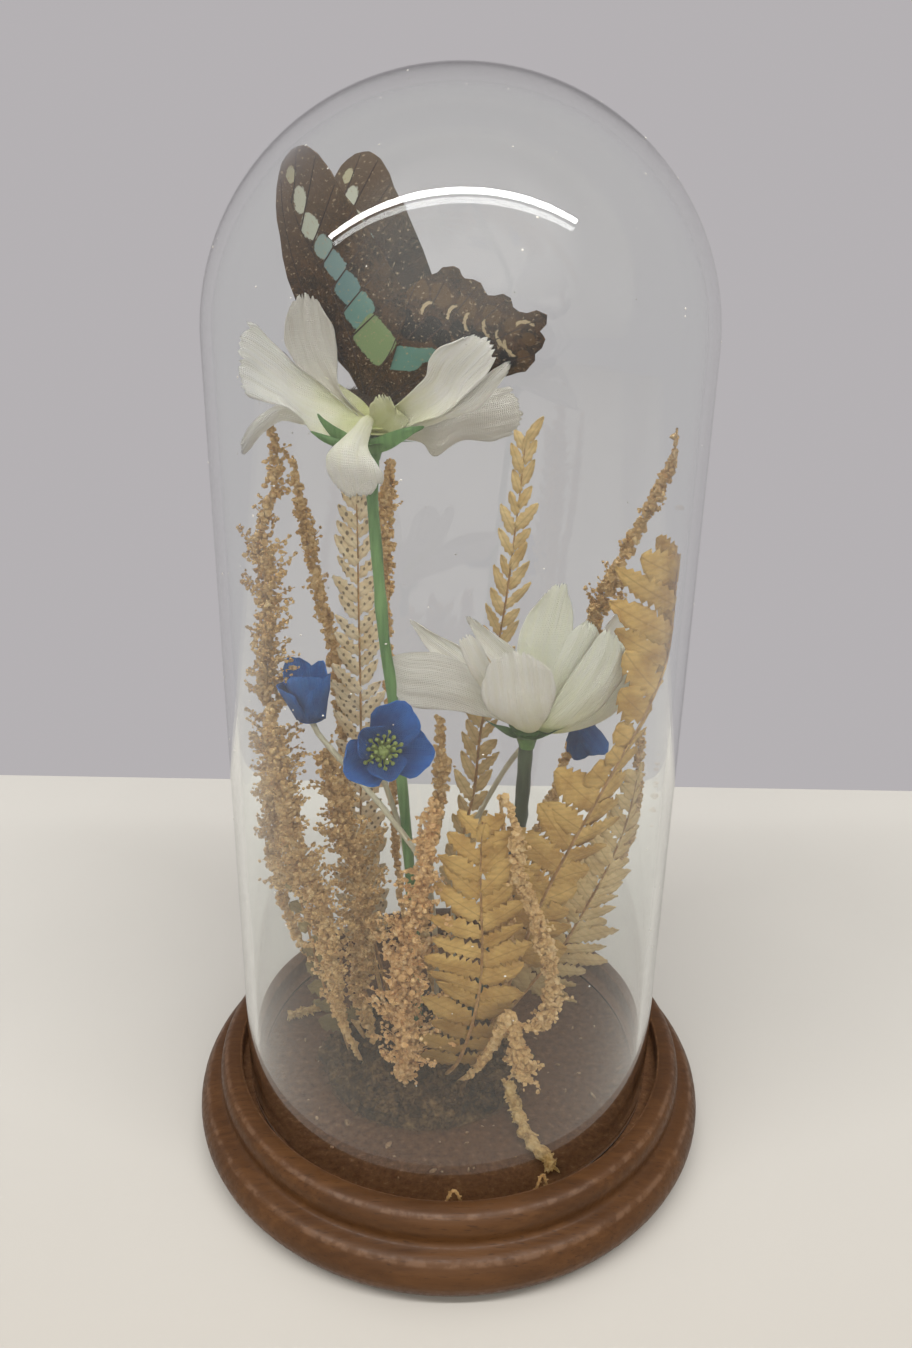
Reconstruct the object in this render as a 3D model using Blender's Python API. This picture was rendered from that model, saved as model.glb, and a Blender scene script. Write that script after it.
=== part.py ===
"""A butterfly specimen on dried and silk flowers under a glass dome, on a turned wooden base.

Run with: blender --background --python part.py
The scene is in metres with +Z up. The origin is the centre of the base's underside. Lengths below are in
millimetres. The flowers, plants and specimen are placed from the axis of the dome, at table height.
"""

import math

import bmesh
import bpy
from mathutils import Matrix, Vector

MM = 0.001

# Glass dome
DOME_RADIUS = 40.0
DOME_WALL = 1.8
DOME_CROWN_WALL = 2.2
DOME_SPRING = 149.6  # height where the straight side meets the crown
DOME_CROWN = 38.4  # rise of the crown above the spring line
DOME_OFFSET = (-0.4, -0.9)  # the dome stands a little off the middle of its base

# Wooden base
BASE_WIDEST = 50.6
RIM_HEIGHT = 15.3
RECESS_RADIUS = 42.1
FLOOR = 11.3  # height of the recess floor

GAP = 0.3  # between pieces that touch
FABRIC = 0.4  # thickness of a petal layer
LEAF = 0.4  # thickness of a dried leaf
RIB = 0.7  # width of a leaf's midrib
FRONT = (0.0, -1.0, 0.15)  # the way the fronds face
CONTENTS_RADIUS = 37.2  # room for the dried plants inside the glass

# Moss mound that holds the stems
MOUND_CENTRE = (-4.5, -4.0)
MOUND_REACH = (20.0, 18.0)
MOUND_RISE = 7.2

ROUND_SEGMENTS = 32

COLOURS = {
    # finish: (red, green, blue), roughness, transmission
    "wood": ((0.17, 0.065, 0.03), 0.45, 0.0),
    "glass": ((0.95, 0.97, 0.96), 0.02, 1.0),
    "moss": ((0.07, 0.055, 0.035), 0.95, 0.0),
    "wing": ((0.09, 0.055, 0.035), 0.7, 0.0),
    "white_silk": ((0.80, 0.82, 0.72), 0.8, 0.0),
    "blue_silk": ((0.05, 0.10, 0.38), 0.75, 0.0),
    "green_plastic": ((0.08, 0.20, 0.06), 0.5, 0.0),
    "stamen": ((0.30, 0.38, 0.12), 0.6, 0.0),
    "pale_wire": ((0.62, 0.58, 0.45), 0.4, 0.0),
    "gold_fern": ((0.42, 0.24, 0.07), 0.8, 0.0),
    "seed": ((0.42, 0.22, 0.12), 0.9, 0.0),
    "twig": ((0.25, 0.17, 0.08), 0.9, 0.0),
}


# ---------------------------------------------------------------- helpers


def clear_scene():
    for thing in list(bpy.data.objects):
        bpy.data.objects.remove(thing)


def paint(thing, finish):
    colour, roughness, transmission = COLOURS[finish]
    material = bpy.data.materials.new(thing.name + "_" + finish)
    material.use_nodes = True
    shader = material.node_tree.nodes["Principled BSDF"]
    shader.inputs["Base Color"].default_value = (*colour, 1.0)
    shader.inputs["Roughness"].default_value = roughness
    shader.inputs["Metallic"].default_value = 0.0
    shader.inputs["Transmission Weight"].default_value = transmission
    thing.data.materials.append(material)


def add_object(name, data, parent=None):
    thing = bpy.data.objects.new(name, data)
    bpy.context.scene.collection.objects.link(thing)
    thing.parent = parent
    return thing


def mesh_object(name, bm, finish, parent=None, smooth_below=35.0):
    bmesh.ops.recalc_face_normals(bm, faces=bm.faces)
    mesh = bpy.data.meshes.new(name)
    bm.to_mesh(mesh)
    bm.free()
    mesh.shade_smooth()
    mesh.set_sharp_from_angle(angle=math.radians(smooth_below))
    thing = add_object(name, mesh, parent)
    paint(thing, finish)
    return thing


def turned(profile, segments=ROUND_SEGMENTS):
    """A mesh spun about Z from an outline of (radius, height) points that starts and ends on the axis."""
    bm = bmesh.new()
    corners = [bm.verts.new((radius * MM, 0.0, height * MM)) for radius, height in profile]
    edges = [bm.edges.new(pair) for pair in zip(corners, corners[1:])]
    bmesh.ops.spin(
        bm,
        geom=corners + edges,
        cent=(0, 0, 0),
        axis=(0, 0, 1),
        angle=math.tau,
        steps=segments,
        use_merge=True,
    )
    bmesh.ops.remove_doubles(bm, verts=bm.verts, dist=1e-7)
    return bm


def arc(centre, radii, start, end, steps):
    """Points on an ellipse about centre, from one angle to the other, in degrees."""
    turns = [math.radians(start + (end - start) * k / steps) for k in range(steps + 1)]
    return [(centre[0] + radii[0] * math.cos(a), centre[1] + radii[1] * math.sin(a)) for a in turns]


def evenly(count):
    return [k / (count - 1) for k in range(count)]


def along(points, shares):
    """Places at the shares of the length of a smooth curve through the points, in millimetres.

    A point may have a fourth number, such as a radius, which is blended along the curve too.
    """
    knots = [Vector(p) for p in points]
    knots = [2 * knots[0] - knots[1], *knots, 2 * knots[-1] - knots[-2]]
    fine = []
    for a, b, c, d in zip(knots, knots[1:], knots[2:], knots[3:]):
        for k in range(12):
            t = k / 12
            bend = (2 * a - 5 * b + 4 * c - d) * t**2 + (3 * b - a - 3 * c + d) * t**3
            fine.append(0.5 * (2 * b + (c - a) * t + bend))
    fine.append(Vector(points[-1]))
    lengths = [0.0]
    for a, b in zip(fine, fine[1:]):
        lengths.append(lengths[-1] + (b - a).length)
    places = []
    for share in shares:
        wanted = lengths[-1] * share
        i = next((j for j in range(1, len(fine)) if lengths[j] >= wanted), len(fine) - 1)
        step = (wanted - lengths[i - 1]) / (lengths[i] - lengths[i - 1])
        places.append(fine[i - 1].lerp(fine[i], min(1.0, step)))
    return places


def tube(name, places, radii, finish, parent, sides=6):
    """A closed round stalk through the places, with a radius at each."""
    curve = bpy.data.curves.new(name, "CURVE")
    curve.dimensions = "3D"
    curve.bevel_depth = MM
    curve.bevel_resolution = (sides - 4) // 2
    curve.use_fill_caps = True
    spline = curve.splines.new("POLY")
    spline.points.add(len(places) - 1)
    for point, place, radius in zip(spline.points, places, radii):
        point.co = (*(place * MM), 1.0)
        point.radius = radius
    spline.use_smooth = True
    thing = add_object(name, curve, parent)
    paint(thing, finish)
    return thing


def grow_row(bm, row, places):
    """Extrudes the edges between a row's vertices and puts the new row at the places."""
    edges = [bm.edges.get(pair) for pair in zip(row, row[1:])]
    made = bmesh.ops.extrude_edge_only(bm, edges=edges)["geom"]
    fresh = [item for item in made if isinstance(item, bmesh.types.BMVert)]
    new_row = [min(fresh, key=lambda v: (v.co - old.co).length_squared) for old in row]
    for vertex, place in zip(new_row, places):
        vertex.co = place * MM
    return new_row


def thicken(thing, thickness):
    """Gives a sheet its thickness, half to each side."""
    solidify = thing.modifiers.new("Thickness", "SOLIDIFY")
    solidify.thickness = thickness * MM
    solidify.offset = 0.0


# ---------------------------------------------------------------- base, dome and mound


def make_base():
    lower_tier = [(0, 0), (47.4, 0), (48.9, 1.5), (50.1, 3.2), (BASE_WIDEST, 4.9)]
    shoulder = [(50.3, 7.0), (49.5, 8.5), (48.4, 9.4)]
    groove = [(46.4, 9.8), (46.1, 10.4)]
    upper_tier = [(46.2, 13.2), (45.4, 14.6), (44.0, 15.2), (RECESS_RADIUS, RIM_HEIGHT)]
    recess = [(RECESS_RADIUS, FLOOR), (0, FLOOR)]
    bm = turned(lower_tier + shoulder + groove + upper_tier + recess)
    mesh_object("wood_base", bm, "wood")


def make_dome(axis):
    foot = FLOOR + GAP
    inner = DOME_RADIUS - DOME_WALL
    outer_crown = arc((0, DOME_SPRING), (DOME_RADIUS, DOME_CROWN), 90, 0, 6)
    inner_crown = arc((0, DOME_SPRING), (inner, DOME_CROWN - DOME_CROWN_WALL), 0, 90, 5)
    foot_ring = [(DOME_RADIUS, foot), (inner, foot)]
    outer_crown[0], inner_crown[-1] = (0, outer_crown[0][1]), (0, inner_crown[-1][1])
    bm = turned(outer_crown + foot_ring + inner_crown)
    mesh_object("glass_dome", bm, "glass", axis)


def mound_height(x, y):
    """Height of the mound's lumpy top over the place, from the underside of the base."""
    across = (x - MOUND_CENTRE[0]) / MOUND_REACH[0]
    along_y = (y - MOUND_CENTRE[1]) / MOUND_REACH[1]
    inside = max(0.0, 1.0 - across**2 - along_y**2)
    lumps = 0.7 * math.sin(0.55 * x) * math.cos(0.6 * y) * inside
    return FLOOR + GAP + 0.6 + MOUND_RISE * inside**0.6 + lumps


def make_mound(axis):
    rings = [(0, 2), (0.34, 2), (0.62, 2), (0.86, 2), (1.0, 1), (0.98, 0), (0, 0)]
    bm = turned([(1000 * share, level) for share, level in rings], 22)
    for vertex in bm.verts:
        level = round(vertex.co.z / MM)
        x = MOUND_CENTRE[0] + vertex.co.x * MOUND_REACH[0]
        y = MOUND_CENTRE[1] + vertex.co.y * MOUND_REACH[1]
        z = mound_height(x, y) if level else FLOOR + GAP
        vertex.co = Vector((x, y, z)) * MM
    mesh_object("moss_mound", bm, "moss", axis, 60.0)


def rooted(x, y, *rest):
    """A route that starts on the mound's top at (x, y)."""
    return [(x, y, mound_height(x, y) + GAP + 0.3), *rest]


# ---------------------------------------------------------------- flowers

PETAL_SHAPE = ((0.2, 0.66), (0.5, 0.98), (0.8, 0.94), (1.0, 0.5))  # share of the length, share of the width
SMALL_PETAL_SHAPE = ((0.3, 0.8), (0.72, 1.0), (1.0, 0.5))
PETAL_CUP = 0.1


def petal_rows(petal, start, shape):
    """Three places across a petal at each step out from the disc, in the flower's own frame.

    A petal heads out at an angle about the flower, rises, curls as it goes and rolls about its own length.
    """
    heading, rise, curl, roll, length, width = petal
    out = Vector((math.cos(math.radians(heading)), math.sin(math.radians(heading)), 0))
    side = Vector((-out.y, out.x, 0))
    up = Vector((0, 0, 1))
    middle, at = out * start, 0.0
    for share, wide in shape:
        while at < share - 1e-6:
            at += 0.02
            angle = math.radians(rise + curl * at)
            ahead = out * math.cos(angle) + up * math.sin(angle)
            middle = middle + ahead * 0.02 * length
        face = up * math.cos(angle) - out * math.sin(angle)
        turn = math.radians(roll * min(1.0, 1.8 * share))
        half = (side * math.cos(turn) + face * math.sin(turn)) * width * wide / 2
        cup = (face * math.cos(turn) - side * math.sin(turn)) * PETAL_CUP * width * wide
        tip = ahead * (0.06 * length if share == 1.0 else 0.0)
        yield [middle - half + cup, middle + tip, middle + half + cup]


def make_corolla(name, petals, turn, start, finish, flower, height, slots=5, thickness=FABRIC,
                 shape=PETAL_SHAPE):
    """One die-cut layer: petals from the slots round a small disc, each bent its own way."""
    bm = bmesh.new()
    count = 2 * slots
    bmesh.ops.create_circle(bm, cap_ends=True, segments=count, radius=start * MM)
    ring = sorted(bm.verts, key=lambda v: (math.atan2(v.co.y, v.co.x) + 1e-4) % math.tau)
    bmesh.ops.rotate(bm, verts=bm.verts, cent=(0, 0, 0), matrix=Matrix.Rotation(math.radians(turn), 3, "Z"))
    for slot, *petal in petals:
        row = [ring[2 * slot - 1], ring[2 * slot], ring[(2 * slot + 1) % count]]
        for places in petal_rows(petal, start, shape):
            row = grow_row(bm, row, places)
    bmesh.ops.translate(bm, verts=bm.verts, vec=(0, 0, height * MM))
    thing = mesh_object(name, bm, finish, flower)
    thicken(thing, thickness)
    return thing


def make_calyx(name, flower, sepals, reach, depth, stem_radius, turn):
    """A cup with pointed sepals, from the stem's end to under the petals."""
    bm = bmesh.new()
    count = 2 * sepals
    top = -0.9
    made = bmesh.ops.create_cone(
        bm, cap_ends=True, segments=count, radius1=stem_radius * MM, radius2=2.4 * MM, depth=depth * MM
    )
    bmesh.ops.translate(bm, verts=made["verts"], vec=(0, 0, (top - depth / 2) * MM))
    upper = [v for v in bm.verts if v.co.z > (top - 0.1) * MM]
    upper.sort(key=lambda v: math.atan2(v.co.y, v.co.x))
    for tip in upper[::2]:
        tip.co.x *= reach / 2.4
        tip.co.y *= reach / 2.4
        tip.co.z -= 0.1 * MM
    bmesh.ops.rotate(bm, verts=bm.verts, cent=(0, 0, 0), matrix=Matrix.Rotation(math.radians(turn), 3, "Z"))
    mesh_object(name, bm, "green_plastic", flower, 30.0)


def flower_place(name, centre, facing, axis):
    """An empty at a flower's disc, its Z along the way the flower faces."""
    place = add_object(name, None, axis)
    place.location = Vector(centre) * MM
    place.rotation_mode = "QUATERNION"
    place.rotation_quaternion = Vector((0, 0, 1)).rotation_difference(Vector(facing))
    return place


UPPER_CENTRE = (-13.4, -6.0, 136.6)
UPPER_STEM = rooted(
    -6.0, -3.0, (-6.5, -8.0, 40.9), (-7.3, -9.0, 56.9), (-8.7, -9.0, 75.3), (-10.5, -9.0, 94.2),
    (-11.7, -9.0, 103.1), (-12.8, -8.0, 116.5), (-13.6, -7.0, 127.0), (-13.4, -6.1, 131.9)
)

LOWER_CENTRE = (12.9, -4.6, 86.5)
LOWER_STEM = rooted(
    3.0, -2.0, (7.5, -2.5, 34.0), (10.9, -3.0, 49.6), (12.5, -4.4, 69.1), (12.9, -4.6, 81.2)
)

# Petals: slot on the disc, heading, rise, curl and roll in degrees, length and width in millimetres
UPPER_OUTER = [
    (0, 28, 12, -6, 34, 21.5, 12.0),
    (1, 95, -8, -14, 0, 19.0, 12.0),
    (2, 166, 25, -78, -20, 22.6, 10.0),
    (4, 262, 24, -150, 0, 14.2, 9.2),
    (5, 326, 30, -4, 84, 23.6, 7.6),
]
UPPER_INNER = [
    (2, 178, 57, 12, 62, 20.0, 9.4),
    (3, 188, 31, 0, -68, 19.6, 11.6),
    (4, 288, 40, -10, 0, 9.0, 5.2),
    (5, 317, 34, -4, 88, 24.6, 9.4),
]
LOWER_OUTER = [
    (0, 16, 26, 20, 10, 23.0, 10.5),
    (1, 100, 16, 20, 0, 12.0, 11.0),
    (2, 189, 17, 18, -16, 20.6, 11.5),
    (3, 262, 40, 34, 0, 18.6, 13.5),
    (4, 342, 14, 26, 12, 15.4, 11.0),
]
LOWER_MIDDLE = [
    (0, 344, 52, 26, 20, 18.6, 8.6),
    (1, 124, 34, 24, 0, 18.4, 8.5),
    (2, 158, 32, 16, 0, 22.0, 8.0),
    (3, 218, 44, 24, 0, 19.6, 9.0),
    (4, 330, 42, 24, 0, 18.6, 10.0),
]
LOWER_INNER = [
    (0, 58, 52, 16, -6, 21.6, 10.0),
    (1, 96, 50, 16, 0, 17.0, 9.0),
    (3, 232, 60, 16, 0, 11.0, 7.0),
    (4, 300, 62, 16, 0, 12.0, 7.0),
]


def make_upper_flower(axis):
    tube("upper_flower_stem", along(UPPER_STEM, evenly(10)), [1.15] * 10, "green_plastic", axis, 6)
    flower = flower_place("upper_flower_place", UPPER_CENTRE, (0.03, -0.02, 1.0), axis)
    make_calyx("upper_flower_calyx", flower, 5, 7.8, 3.4, 1.3, -16)
    make_corolla("upper_flower_outer_petals", UPPER_OUTER, 30, 2.6, "white_silk", flower, 0.0, 6)
    make_corolla("upper_flower_inner_petals", UPPER_INNER, 30, 2.4, "white_silk", flower, 0.9, 6)


def make_lower_flower(axis):
    tube("lower_flower_stem", along(LOWER_STEM, evenly(7)), [1.5] * 7, "green_plastic", axis, 6)
    flower = flower_place("lower_flower_place", LOWER_CENTRE, (-0.04, -0.03, 1.0), axis)
    make_calyx("lower_flower_calyx", flower, 5, 7.5, 3.6, 1.6, 40)
    make_corolla("lower_flower_outer_petals", LOWER_OUTER, 46, 3.0, "white_silk", flower, 0.0)
    make_corolla("lower_flower_middle_petals", LOWER_MIDDLE, 10, 2.8, "white_silk", flower, 1.0)
    make_corolla("lower_flower_inner_petals", LOWER_INNER, 50, 2.3, "white_silk", flower, 2.0, 6)


# Blue flowers: centre, the way it faces, turn about its axis, petals (rise, curl, length, width), stem route
BLUE_FLOWERS = {
    "front": (
        (-11.2, -20.6, 88.4),
        (0.14, -0.87, 0.47),
        2,
        [(22, 10, 6.8, 7.6), (24, 10, 7.4, 8.2), (34, 14, 5.6, 7.0), (40, 14, 5.2, 7.4), (26, 14, 5.8, 7.0)],
        rooted(
            -9.0, -4.6, (-7.6, -5.2, 45.0), (-8.6, -5.6, 62.0), (-11.2, -8.0, 74.0), (-12.4, -12.6, 81.5),
            (-11.5, -18.6, 87.2),
        ),
    ),
    "left": (
        (-24.9, -5.4, 87.6),
        (-0.04, -0.06, 1.0),
        54,
        [(76, 10, 8.6, 5.6), (72, 6, 9.0, 6.2), (52, 10, 6.6, 5.6), (80, 6, 9.4, 7.0), (66, 8, 8.0, 6.0)],
        rooted(
            -2.6, -9.6, (-2.4, -14.2, 44.0), (-4.4, -15.0, 62.5), (-10.6, -13.4, 72.6), (-17.9, -10.4, 80.2),
            (-23.4, -6.4, 84.6), (-24.8, -5.5, 86.4),
        ),
    ),
    "right": (
        (24.8, 9.0, 81.4),
        (0.16, 0.10, -0.98),
        10,
        [(62, 16, 7.0, 6.6), (62, 16, 7.0, 6.6), (62, 16, 7.4, 7.0), (62, 16, 7.4, 7.0), (40, 10, 6.6, 6.0)],
        rooted(
            1.0, 5.4, (0.8, 6.0, 50.0), (4.4, 7.0, 60.0), (9.4, 7.6, 70.5), (14.0, 7.8, 77.6),
            (19.0, 8.4, 83.4), (23.4, 8.9, 84.0), (24.6, 9.0, 82.8),
        ),
    ),
}


def make_stamens(name, flower, reach, height):
    """A tuft of stamens, as a cup with a toothed rim."""
    bm = bmesh.new()
    made = bmesh.ops.create_cone(
        bm, cap_ends=True, segments=16, radius1=0.7 * MM, radius2=reach * MM, depth=height * MM
    )
    bmesh.ops.translate(bm, verts=made["verts"], vec=(0, 0, (0.55 + height / 2) * MM))
    rim = [v for v in bm.verts if v.co.z > height * MM]
    rim.sort(key=lambda v: math.atan2(v.co.y, v.co.x))
    for between in rim[::2]:
        between.co.x *= 0.45
        between.co.y *= 0.45
        between.co.z -= 0.8 * MM
    mesh_object(name, bm, "stamen", flower, 30.0)


def make_blue_flower(side, axis):
    centre, facing, turn, petals, route = BLUE_FLOWERS[side]
    name = "blue_flower_" + side
    tube(name + "_stem", along(route, evenly(10)), [0.5] * 10, "pale_wire", axis, 4)
    flower = flower_place(name + "_place", centre, facing, axis)
    placed = [(k, turn + 72 * k, rise, curl, 0, *size) for k, (rise, curl, *size) in enumerate(petals)]
    make_corolla(name + "_petals", placed, turn, 1.5, "blue_silk", flower, 0.0, thickness=0.35,
                 shape=SMALL_PETAL_SHAPE)
    make_stamens(name + "_stamens", flower, 2.8 if side == "front" else 1.6, 1.9)


# ---------------------------------------------------------------- butterfly

PERCH = (-14.6, -1.9, 140.3)  # where the wings meet the thorax
BODY_TURN = (0.0, 0.305, -0.40)  # +X of the body runs from head to tail
NEAR_LEAN = 20.5  # of the near pair of wings towards the front, in degrees from upright
FAR_LEAN = 7.4  # of the far forewing towards the back
TUCKED_LEAN = 16.5  # of the far hindwing, which lies behind the near one
WING = 0.4

# Outlines across the wing's plane: distance back along the body, distance from the body
FOREWING = [
    (1.0, -0.6), (-3.7, 3.8), (-8.5, 7.2), (-12.4, 10.2), (-15.4, 15.8), (-17.0, 21.8), (-17.5, 26.1),
    (-17.0, 30.4), (-15.8, 33.0), (-13.9, 34.5), (-12.1, 34.8), (-10.6, 34.4), (-8.5, 32.9), (-5.9, 30.4),
    (-3.3, 28.2), (0.7, 24.7), (5.0, 20.1), (5.2, 17.0), (3.4, 8.0),
]
HINDWING = [
    (-0.6, -0.8), (0.6, 8.0), (4.4, 19.0), (9.2, 25.0), (12.4, 26.6), (13.4, 25.2), (15.9, 25.8),
    (17.2, 24.3), (20.6, 25.3), (22.1, 23.7), (26.2, 24.9), (25.8, 22.4), (26.7, 21.2), (25.7, 17.9),
    (24.9, 15.9), (22.8, 14.2), (18.6, 12.0), (11.0, 5.0), (4.0, -0.6),
]


def wing_solid(name, outline, lean, offset, parent):
    """A wing as a thin slab; lean is towards +Y of the body, offset is across the slab."""
    bm = bmesh.new()
    bm.faces.new([bm.verts.new((s * MM, (offset - WING / 2) * MM, t * MM)) for s, t in outline])
    made = bmesh.ops.extrude_face_region(bm, geom=bm.faces[:])["geom"]
    moved = [item for item in made if isinstance(item, bmesh.types.BMVert)]
    bmesh.ops.translate(bm, verts=moved, vec=(0, WING * MM, 0))
    bmesh.ops.rotate(bm, verts=bm.verts, cent=(0, 0, 0), matrix=Matrix.Rotation(math.radians(-lean), 3, "X"))
    return mesh_object(name, bm, "wing", parent)


def limb_solid(name, places, radii, parent, sides=6):
    """A limb or body segment as a mesh, so that a Boolean can join it."""
    guide = tube(name + "_guide", [Vector(p) for p in places], radii, "wing", parent, sides)
    mesh = bpy.data.meshes.new_from_object(guide.evaluated_get(bpy.context.evaluated_depsgraph_get()))
    bpy.data.objects.remove(guide)
    bm = bmesh.new()
    bm.from_mesh(mesh)
    bmesh.ops.remove_doubles(bm, verts=bm.verts, dist=1e-6)
    return mesh_object(name, bm, "wing", parent)


def make_butterfly(axis):
    body_axis = add_object("butterfly_place", None, axis)
    body_axis.location = Vector(PERCH) * MM
    body_axis.rotation_euler = BODY_TURN
    trunk = [(-8.6, 0, -1.0), (-7.9, 0, -0.9), (-6.6, 0, -0.8), (-5.4, 0, -0.7), (-3.0, 0, -0.3), (0, 0, 0),
             (3.0, 0, 0.2), (5.0, 0, 0.7), (8.4, 0, 2.0), (12.4, 0, 4.8), (15.2, 0, 7.6)]
    girth = [0.5, 1.2, 1.25, 0.8, 1.8, 2.0, 1.5, 1.3, 1.6, 1.2, 0.4]
    butterfly = limb_solid("butterfly", trunk, girth, body_axis)
    tucked = [(0.95 * s, 0.93 * t) for s, t in HINDWING]
    others = [
        wing_solid("near_forewing", FOREWING, -NEAR_LEAN, -0.15, body_axis),
        wing_solid("near_hindwing", HINDWING, -NEAR_LEAN, 0.15, body_axis),
        wing_solid("far_forewing", FOREWING, FAR_LEAN, 0.15, body_axis),
        wing_solid("far_hindwing", tucked, -TUCKED_LEAN, 0.3, body_axis),
    ]
    for side in (-1, 1):
        feeler = [(-8.0, 0.5 * side, -0.8), (-11.5, 2.2 * side, 1.2), (-15.4, 3.6 * side, 3.4)]
        others.append(limb_solid("feeler", feeler, [0.3, 0.25, 0.5], body_axis, 4))
    for start, spread in ((-3.6, -5.0), (-1.2, -1.6), (1.4, 2.6)):
        for side, reach, drop in ((-1, 1.9, 1.5), (1, 3.6, 2.2)):
            knee = (spread, (reach - 0.6) * side, -1.2)
            leg = [(start, 0.6 * side, -1.0), knee, (spread, reach * side, -drop)]
            others.append(limb_solid("leg", leg, [0.4, 0.3, 0.25], body_axis, 4))
    for other in others:
        other.hide_render = True
        other.display_type = "WIRE"
        joined = butterfly.modifiers.new(other.name, "BOOLEAN")
        joined.operation = "UNION"
        joined.solver = "EXACT"
        joined.object = other


# ---------------------------------------------------------------- dried plants


def make_seed_head(name, points, count, axis):
    """A stalk set with clusters of seeds; each point carries the radius of the clusters there."""
    foot = rooted(*points[0][:2])[0]
    steps = along([(*foot, 0.5), *points[1:]], evenly(count))
    places = [step.to_3d() for step in steps]
    radii = [step[3] * (1.08 if k % 2 else 0.8) for k, step in enumerate(steps)]
    for k, place in enumerate(places):
        room = (CONTENTS_RADIUS - radii[k]) / math.hypot(place.x, place.y)
        if room < 1.0:
            places[k] = Vector((place.x * room, place.y * room, place.z))
    tube(name, places, [max(0.4, radius) for radius in radii], "seed", axis)


def make_frond(name, points, pairs, reach, axis, lean, fill, bare, fold=0.0, blade=((1.0, 0.25),)):
    """A dried frond that faces the front: a narrow midrib with a pair of pinnae at every step.

    reach is a pinna's length at the foot, the middle and the tip. lean is how far the pinnae point up, and
    fold how far the right-hand ones are turned back at the tip. bare is the share of the midrib without any,
    and fill the share of each step that a pinna takes. blade lists widths along a pinna.
    """
    pitch = (1.0 - bare) / pairs
    shares = [0.0, bare / 3, 2 * bare / 3]
    for k in range(pairs):
        shares += [bare + pitch * k, bare + pitch * (k + fill)]
    shares.append(1.0)
    places = along([rooted(*points[0][:2])[0], *points[1:]], shares)
    bm = bmesh.new()
    row = None
    for k, place in enumerate(places):
        ahead = (places[min(k + 1, len(places) - 1)] - places[max(k - 1, 0)]).normalized()
        side = ahead.cross(Vector(FRONT)).normalized()
        ends = [place - side * RIB / 2, place + side * RIB / 2]
        if row is None:
            row = [bm.verts.new(end * MM) for end in ends]
            bm.edges.new(row)
            continue
        new_row = grow_row(bm, row, ends)
        if k > 3 and k % 2 == 0 and k < len(places) - 1:
            share = (k - 4) / max(1, 2 * pairs - 2)
            length = reach[0] + (reach[1] - reach[0]) * min(1.0, 2 * share)
            length += (reach[2] - reach[1]) * max(0.0, 2 * share - 1)
            width = (place - places[k - 1]).length
            back = side.cross(ahead)
            for sign, pair in ((-1, [new_row[0], row[0]]), (1, [row[1], new_row[1]])):
                turned_back = math.radians(fold * share if sign > 0 else 0.0)
                flat = side * sign * math.cos(turned_back) - back * math.sin(turned_back)
                way = flat * math.cos(math.radians(lean)) + ahead * math.sin(math.radians(lean))
                middle = (place + places[k - 1]) / 2 + flat * RIB / 2
                for reach_share, width_share in blade:
                    centre = middle + way * length * reach_share + back * 0.06 * length * reach_share**2
                    half = ahead * width * width_share / 2
                    pair = grow_row(bm, pair, [centre - half * sign, centre + half * sign])
        row = new_row
    thing = mesh_object(name, bm, "gold_fern", axis)
    thicken(thing, LEAF)


BROAD_BLADE = ((0.6, 1.5), (1.0, 0.35))
LONG_BLADE = ((0.5, 1.15), (1.0, 0.3))


def make_ferns(axis):
    make_frond(
        "fern_centre",
        [(-0.6, -14.0), (1.9, -17.6, 23.8), (4.0, -19.4, 32.7), (5.4, -20.0, 42.3), (5.6, -20.4, 51.3),
         (5.2, -20.6, 59.8), (4.9, -20.6, 67.9), (5.0, -20.6, 76.0)],
        9, (7.0, 8.2, 3.4), axis, lean=20, fill=0.62, bare=0.14, blade=LONG_BLADE,
    )
    make_frond(
        "fern_right_broad",
        [(6.5, -7.0), (11.4, -10.0, 36.0), (16.2, -12.4, 55.2), (21.4, -14.2, 69.8), (27.0, -15.0, 83.5),
         (31.2, -14.6, 93.2), (34.4, -12.4, 101.4), (35.4, -10.6, 110.0), (35.4, -9.6, 119.0)],
        10, (7.0, 10.5, 10.0), axis, lean=22, fill=0.5, bare=0.26, fold=110, blade=BROAD_BLADE,
    )
    make_frond(
        "fern_right_thin",
        [(8.0, -1.6), (13.6, -2.4, 25.5), (18.9, -3.2, 34.4), (22.4, -3.6, 40.7), (25.2, -4.0, 47.4),
         (28.0, -4.2, 54.2), (30.6, -3.8, 61.0), (32.6, -3.4, 68.0), (34.0, -2.6, 77.0)],
        12, (9.0, 7.5, 2.4), axis, lean=24, fill=0.5, bare=0.2, fold=60,
    )
    make_frond(
        "fern_left_spotted",
        [(-11.0, 1.0), (-15.6, 2.6, 38.0), (-17.5, 3.6, 54.0), (-17.3, 4.0, 78.8), (-17.3, 4.5, 90.6),
         (-17.4, 5.0, 105.7), (-17.4, 5.4, 116.0), (-17.5, 5.6, 125.2)],
        13, (6.0, 5.8, 3.4), axis, lean=36, fill=0.6, bare=0.22, blade=((1.0, 0.4),),
    )
    make_frond(
        "leafy_frond",
        [(-0.6, 7.6), (0.4, 8.6, 40.0), (2.4, 10.0, 56.0), (4.3, 11.2, 65.1), (5.3, 12.0, 77.7),
         (7.7, 13.0, 91.9), (9.4, 13.6, 103.6), (10.5, 14.0, 115.0), (11.5, 14.6, 125.9),
         (12.1, 15.0, 134.3)],
        13, (4.5, 5.0, 3.6), axis, lean=58, fill=0.55, bare=0.24, blade=((1.0, 0.5),),
    )
    make_frond(
        "dried_leaf_left",
        [(-19.2, -7.0), (-21.6, -8.0, 26.0), (-23.8, -8.6, 33.4), (-25.4, -8.8, 41.2),
         (-27.2, -9.4, 51.8), (-28.4, -9.8, 59.8), (-29.6, -9.8, 68.0)],
        5, (3.4, 2.6, 1.8), axis, lean=50, fill=0.55, bare=0.12,
    )


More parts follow.
